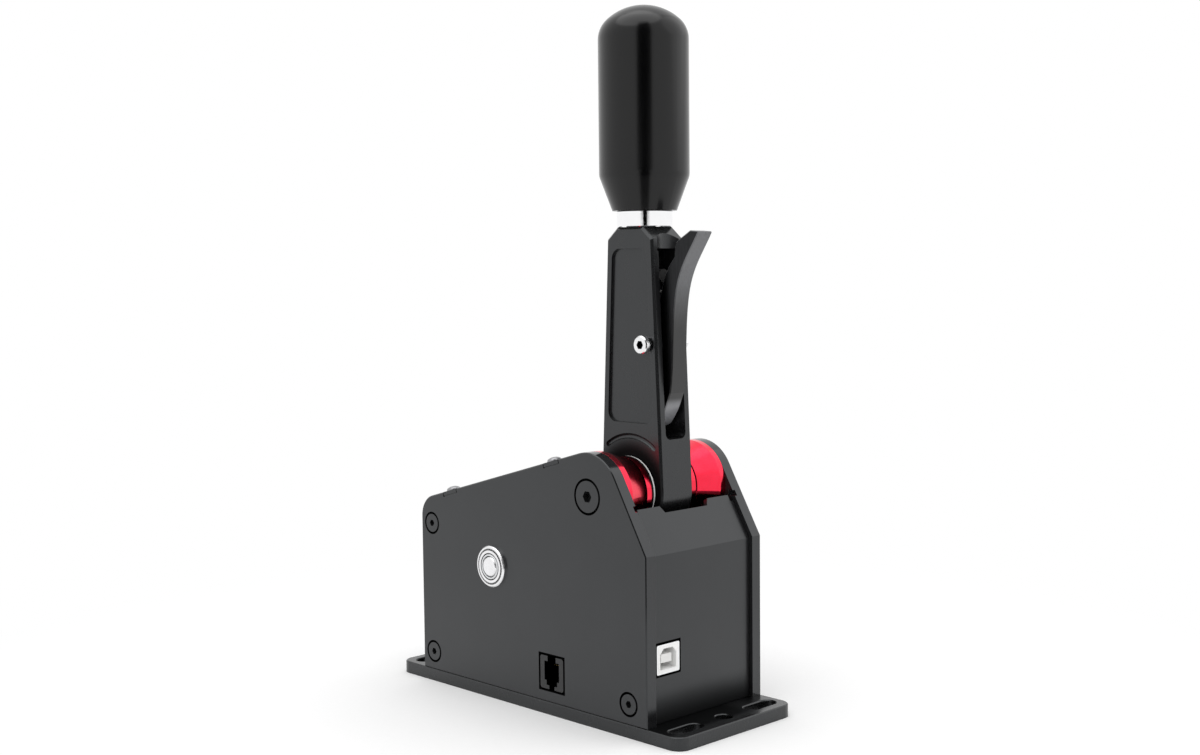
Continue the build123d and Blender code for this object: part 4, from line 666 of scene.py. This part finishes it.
looks = {
    "base_plate": base_coat,
    "left_side_plate": charcoal,
    "right_side_plate": charcoal,
    "front_cover": cover_coat,
    "top_cover": cover_coat,
    "rear_cover": cover_coat,
    "rear_upper_post": bright_steel,
    "rear_lower_post": bright_steel,
    "front_lower_post": bright_steel,
    "side_screws": black_steel,
    "pivot_screws": black_steel,
    "base_screws": black_steel,
    "block_screws": black_steel,
    "ear_screws": ear_steel,
    "pivot_shaft": bright_steel,
    "left_hub": red,
    "right_hub": red,
    "hub_washers": washer_white,
    "bearing_inner_rings": bright_steel,
    "bearing_outer_rings": bright_steel,
    "bearing_balls": bright_steel,
    "bearing_spacer": spring_block,
    "lever_body": lever_coat,
    "lever_stud": bright_steel,
    "grip_collar": polished,
    "grip": grip_black,
    "trigger": trigger_coat,
    "trigger_pin": pin_steel,
    "trigger_nut": bright_steel,
    "trigger_spring": short_coil,
    "trigger_magnet": magnet_plate,
    "trigger_sensor": trigger_board,
    "trigger_pads": rubber,
    "shift_rod": bright_steel,
    "rod_fork": spring_block,
    "fork_nut": black_steel,
    "fork_pin": bright_steel,
    "pin_clips": black_steel,
    "rod_collar": spring_block,
    "collar_screw": black_steel,
    "shift_magnet": magnet_plate,
    "front_spring_block": spring_block,
    "rear_spring_block": spring_block,
    "rod_bushes": bronze,
    "front_spring": long_coil,
    "rear_spring": long_coil,
    "stop_sleeves": rubber,
    "button_bezel": button_metal,
    "button_barrel": button_metal,
    "button_ring": light_ring,
    "button_cap": button_metal,
    "button_spring": button_coil,
    "button_nut": bright_steel,
    "modular_socket": socket_plastic,
    "socket_contacts": contact_gold,
    "usb_shell": shell_metal,
    "usb_tongue": tongue_plastic,
    "control_board": main_board,
    "sensor_board": hall_board,
    "socket_board": port_board,
}
for name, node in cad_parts.items():
    node.data.materials.clear()
    node.data.materials.append(looks[name])


def mesh_object(name, points, faces, material):
    mesh = bpy.data.meshes.new(name)
    mesh.from_pydata(points, [], faces)
    mesh.materials.append(material)
    return add_object(name, mesh)


def light_path_share(tree):
    """1 for what the camera, a reflection or a see-through surface sees, 0 for light on things."""
    path = tree.nodes.new("ShaderNodeLightPath")
    share = path.outputs["Is Camera Ray"]
    for ray in ("Is Glossy Ray", "Is Transmission Ray"):
        larger = tree.nodes.new("ShaderNodeMath")
        larger.operation = "MAXIMUM"
        tree.links.new(share, larger.inputs[0])
        tree.links.new(path.outputs[ray], larger.inputs[1])
        share = larger.outputs[0]
    return share


def make_floor():
    """A plain pale floor: it keeps the shadow round the object and is white further out."""
    half = 30.0
    # How far from the origin, in millimetres
    shadow_reach, white_from = 95.0, 300.0
    paint = Paint("floor_paper")
    fibres = paint.noise(2.0, detail=3.0, roughness=0.6)
    paint.surface(
        Base_Color=paint.ramp(fibres, even(0.965), even(0.985), start=0.2, end=0.8),
        Roughness=0.9,
        Specular_IOR_Level=0.0,
    )
    away = paint.above(paint.radius("XY"), shadow_reach, white_from)
    glow = paint.node("ShaderNodeEmission")
    glow.inputs["Strength"].default_value = 1.0
    mixed = paint.node("ShaderNodeMixShader")
    paint.link(paint.times(away, light_path_share(paint.tree)), mixed.inputs[0])
    paint.link(paint.shader.outputs[0], mixed.inputs[1])
    paint.link(glow.outputs[0], mixed.inputs[2])
    paint.link(mixed.outputs[0], paint.output.inputs[0])
    corners = [(-half, -half, 0), (half, -half, 0), (half, half, 0), (-half, half, 0)]
    floor = mesh_object("floor", corners, [(0, 1, 2, 3)], paint.material)


def make_flag():
    """A dark studio flag on the camera's side, from the floor up, which only reflections see."""
    centre = Vector((0.03, 0.0, 0.13))
    reach, inner_reach = 1.6, 0.24
    foot_level = 0.0015 - centre.z
    foot_half, waist_half, head_half = 14.0, 8.0, 18.0
    arc_start, arc_end = 5.5, 62.0
    columns, rows = 8, 24
    # How far out and how high each rail is, and its half width in degrees round the centre
    rails = [
        (inner_reach, foot_level, foot_half),
        (reach, foot_level, foot_half),
        (reach, 0.03, foot_half),
        (reach, 0.035, waist_half),
        (reach, 0.115, waist_half),
        (reach, 0.14, head_half),
    ]
    for row in range(rows + 1):
        rise = math.radians(arc_start + (arc_end - arc_start) * row / rows)
        rails.append((reach * math.cos(rise), reach * math.sin(rise), head_half))
    toward_camera = math.atan2(-camera_ahead.y, -camera_ahead.x)
    points, faces = [], []
    for out, up, degrees in rails:
        for column in range(columns + 1):
            turn = toward_camera + math.radians(degrees) * (2 * column / columns - 1)
            points.append(centre + Vector((out * math.cos(turn), out * math.sin(turn), up)))
    for row in range(len(rails) - 1):
        for column in range(columns):
            first = row * (columns + 1) + column
            faces.append((first, first + 1, first + columns + 2, first + columns + 1))
    paint = Paint("flag_cloth")
    paint.surface(
        Base_Color=paint.ramp(paint.noise(3.0), even(0.002), even(0.003)),
        Roughness=1.0,
        Specular_IOR_Level=0.0,
    )
    flag = mesh_object("flag", points, faces, paint.material)
    flag.visible_camera = False
    flag.visible_diffuse = False
    flag.visible_shadow = False
    flag.visible_transmission = False


def make_world():
    """A white studio all round, which lights things a little less than it shows."""
    lighting, showing = 0.75, 1.0
    world = bpy.data.worlds.new("studio")
    bpy.context.scene.world = world
    world.use_nodes = True
    tree = world.node_tree
    tree.nodes.clear()
    output = tree.nodes.new("ShaderNodeOutputWorld")
    mixed = tree.nodes.new("ShaderNodeMixShader")
    tree.links.new(light_path_share(tree), mixed.inputs[0])
    for strength, socket in ((lighting, mixed.inputs[1]), (showing, mixed.inputs[2])):
        background = tree.nodes.new("ShaderNodeBackground")
        background.inputs["Color"].default_value = (1.0, 1.0, 1.0, 1.0)
        background.inputs["Strength"].default_value = strength
        tree.links.new(background.outputs[0], socket)
    tree.links.new(mixed.outputs[0], output.inputs[0])


def make_softbox(name, place, aim, width, height, watts):
    """A soft elliptical lamp, which reflections see and the camera doesn't."""
    data = bpy.data.lights.new(name, "AREA")
    data.shape = "ELLIPSE"
    data.size = width
    data.size_y = height
    data.energy = watts
    lamp = add_object(name, data)
    lamp.visible_camera = False
    turn = (Vector(aim) - Vector(place)).to_track_quat("-Z", "Y").to_matrix().to_4x4()
    lamp.matrix_world = Matrix.Translation(Vector(place)) @ turn


make_floor()
make_flag()
make_world()
make_softbox(
    "top_box", place=(0.03, -0.3, 1.5), aim=(0.03, 0.0, 0.12), width=2.0, height=2.0, watts=11.5,
)
make_softbox(
    "side_box", place=(0.72, 0.92, 0.93), aim=(0.03, 0.0, 0.1), width=1.8, height=1.5, watts=2.6,
)
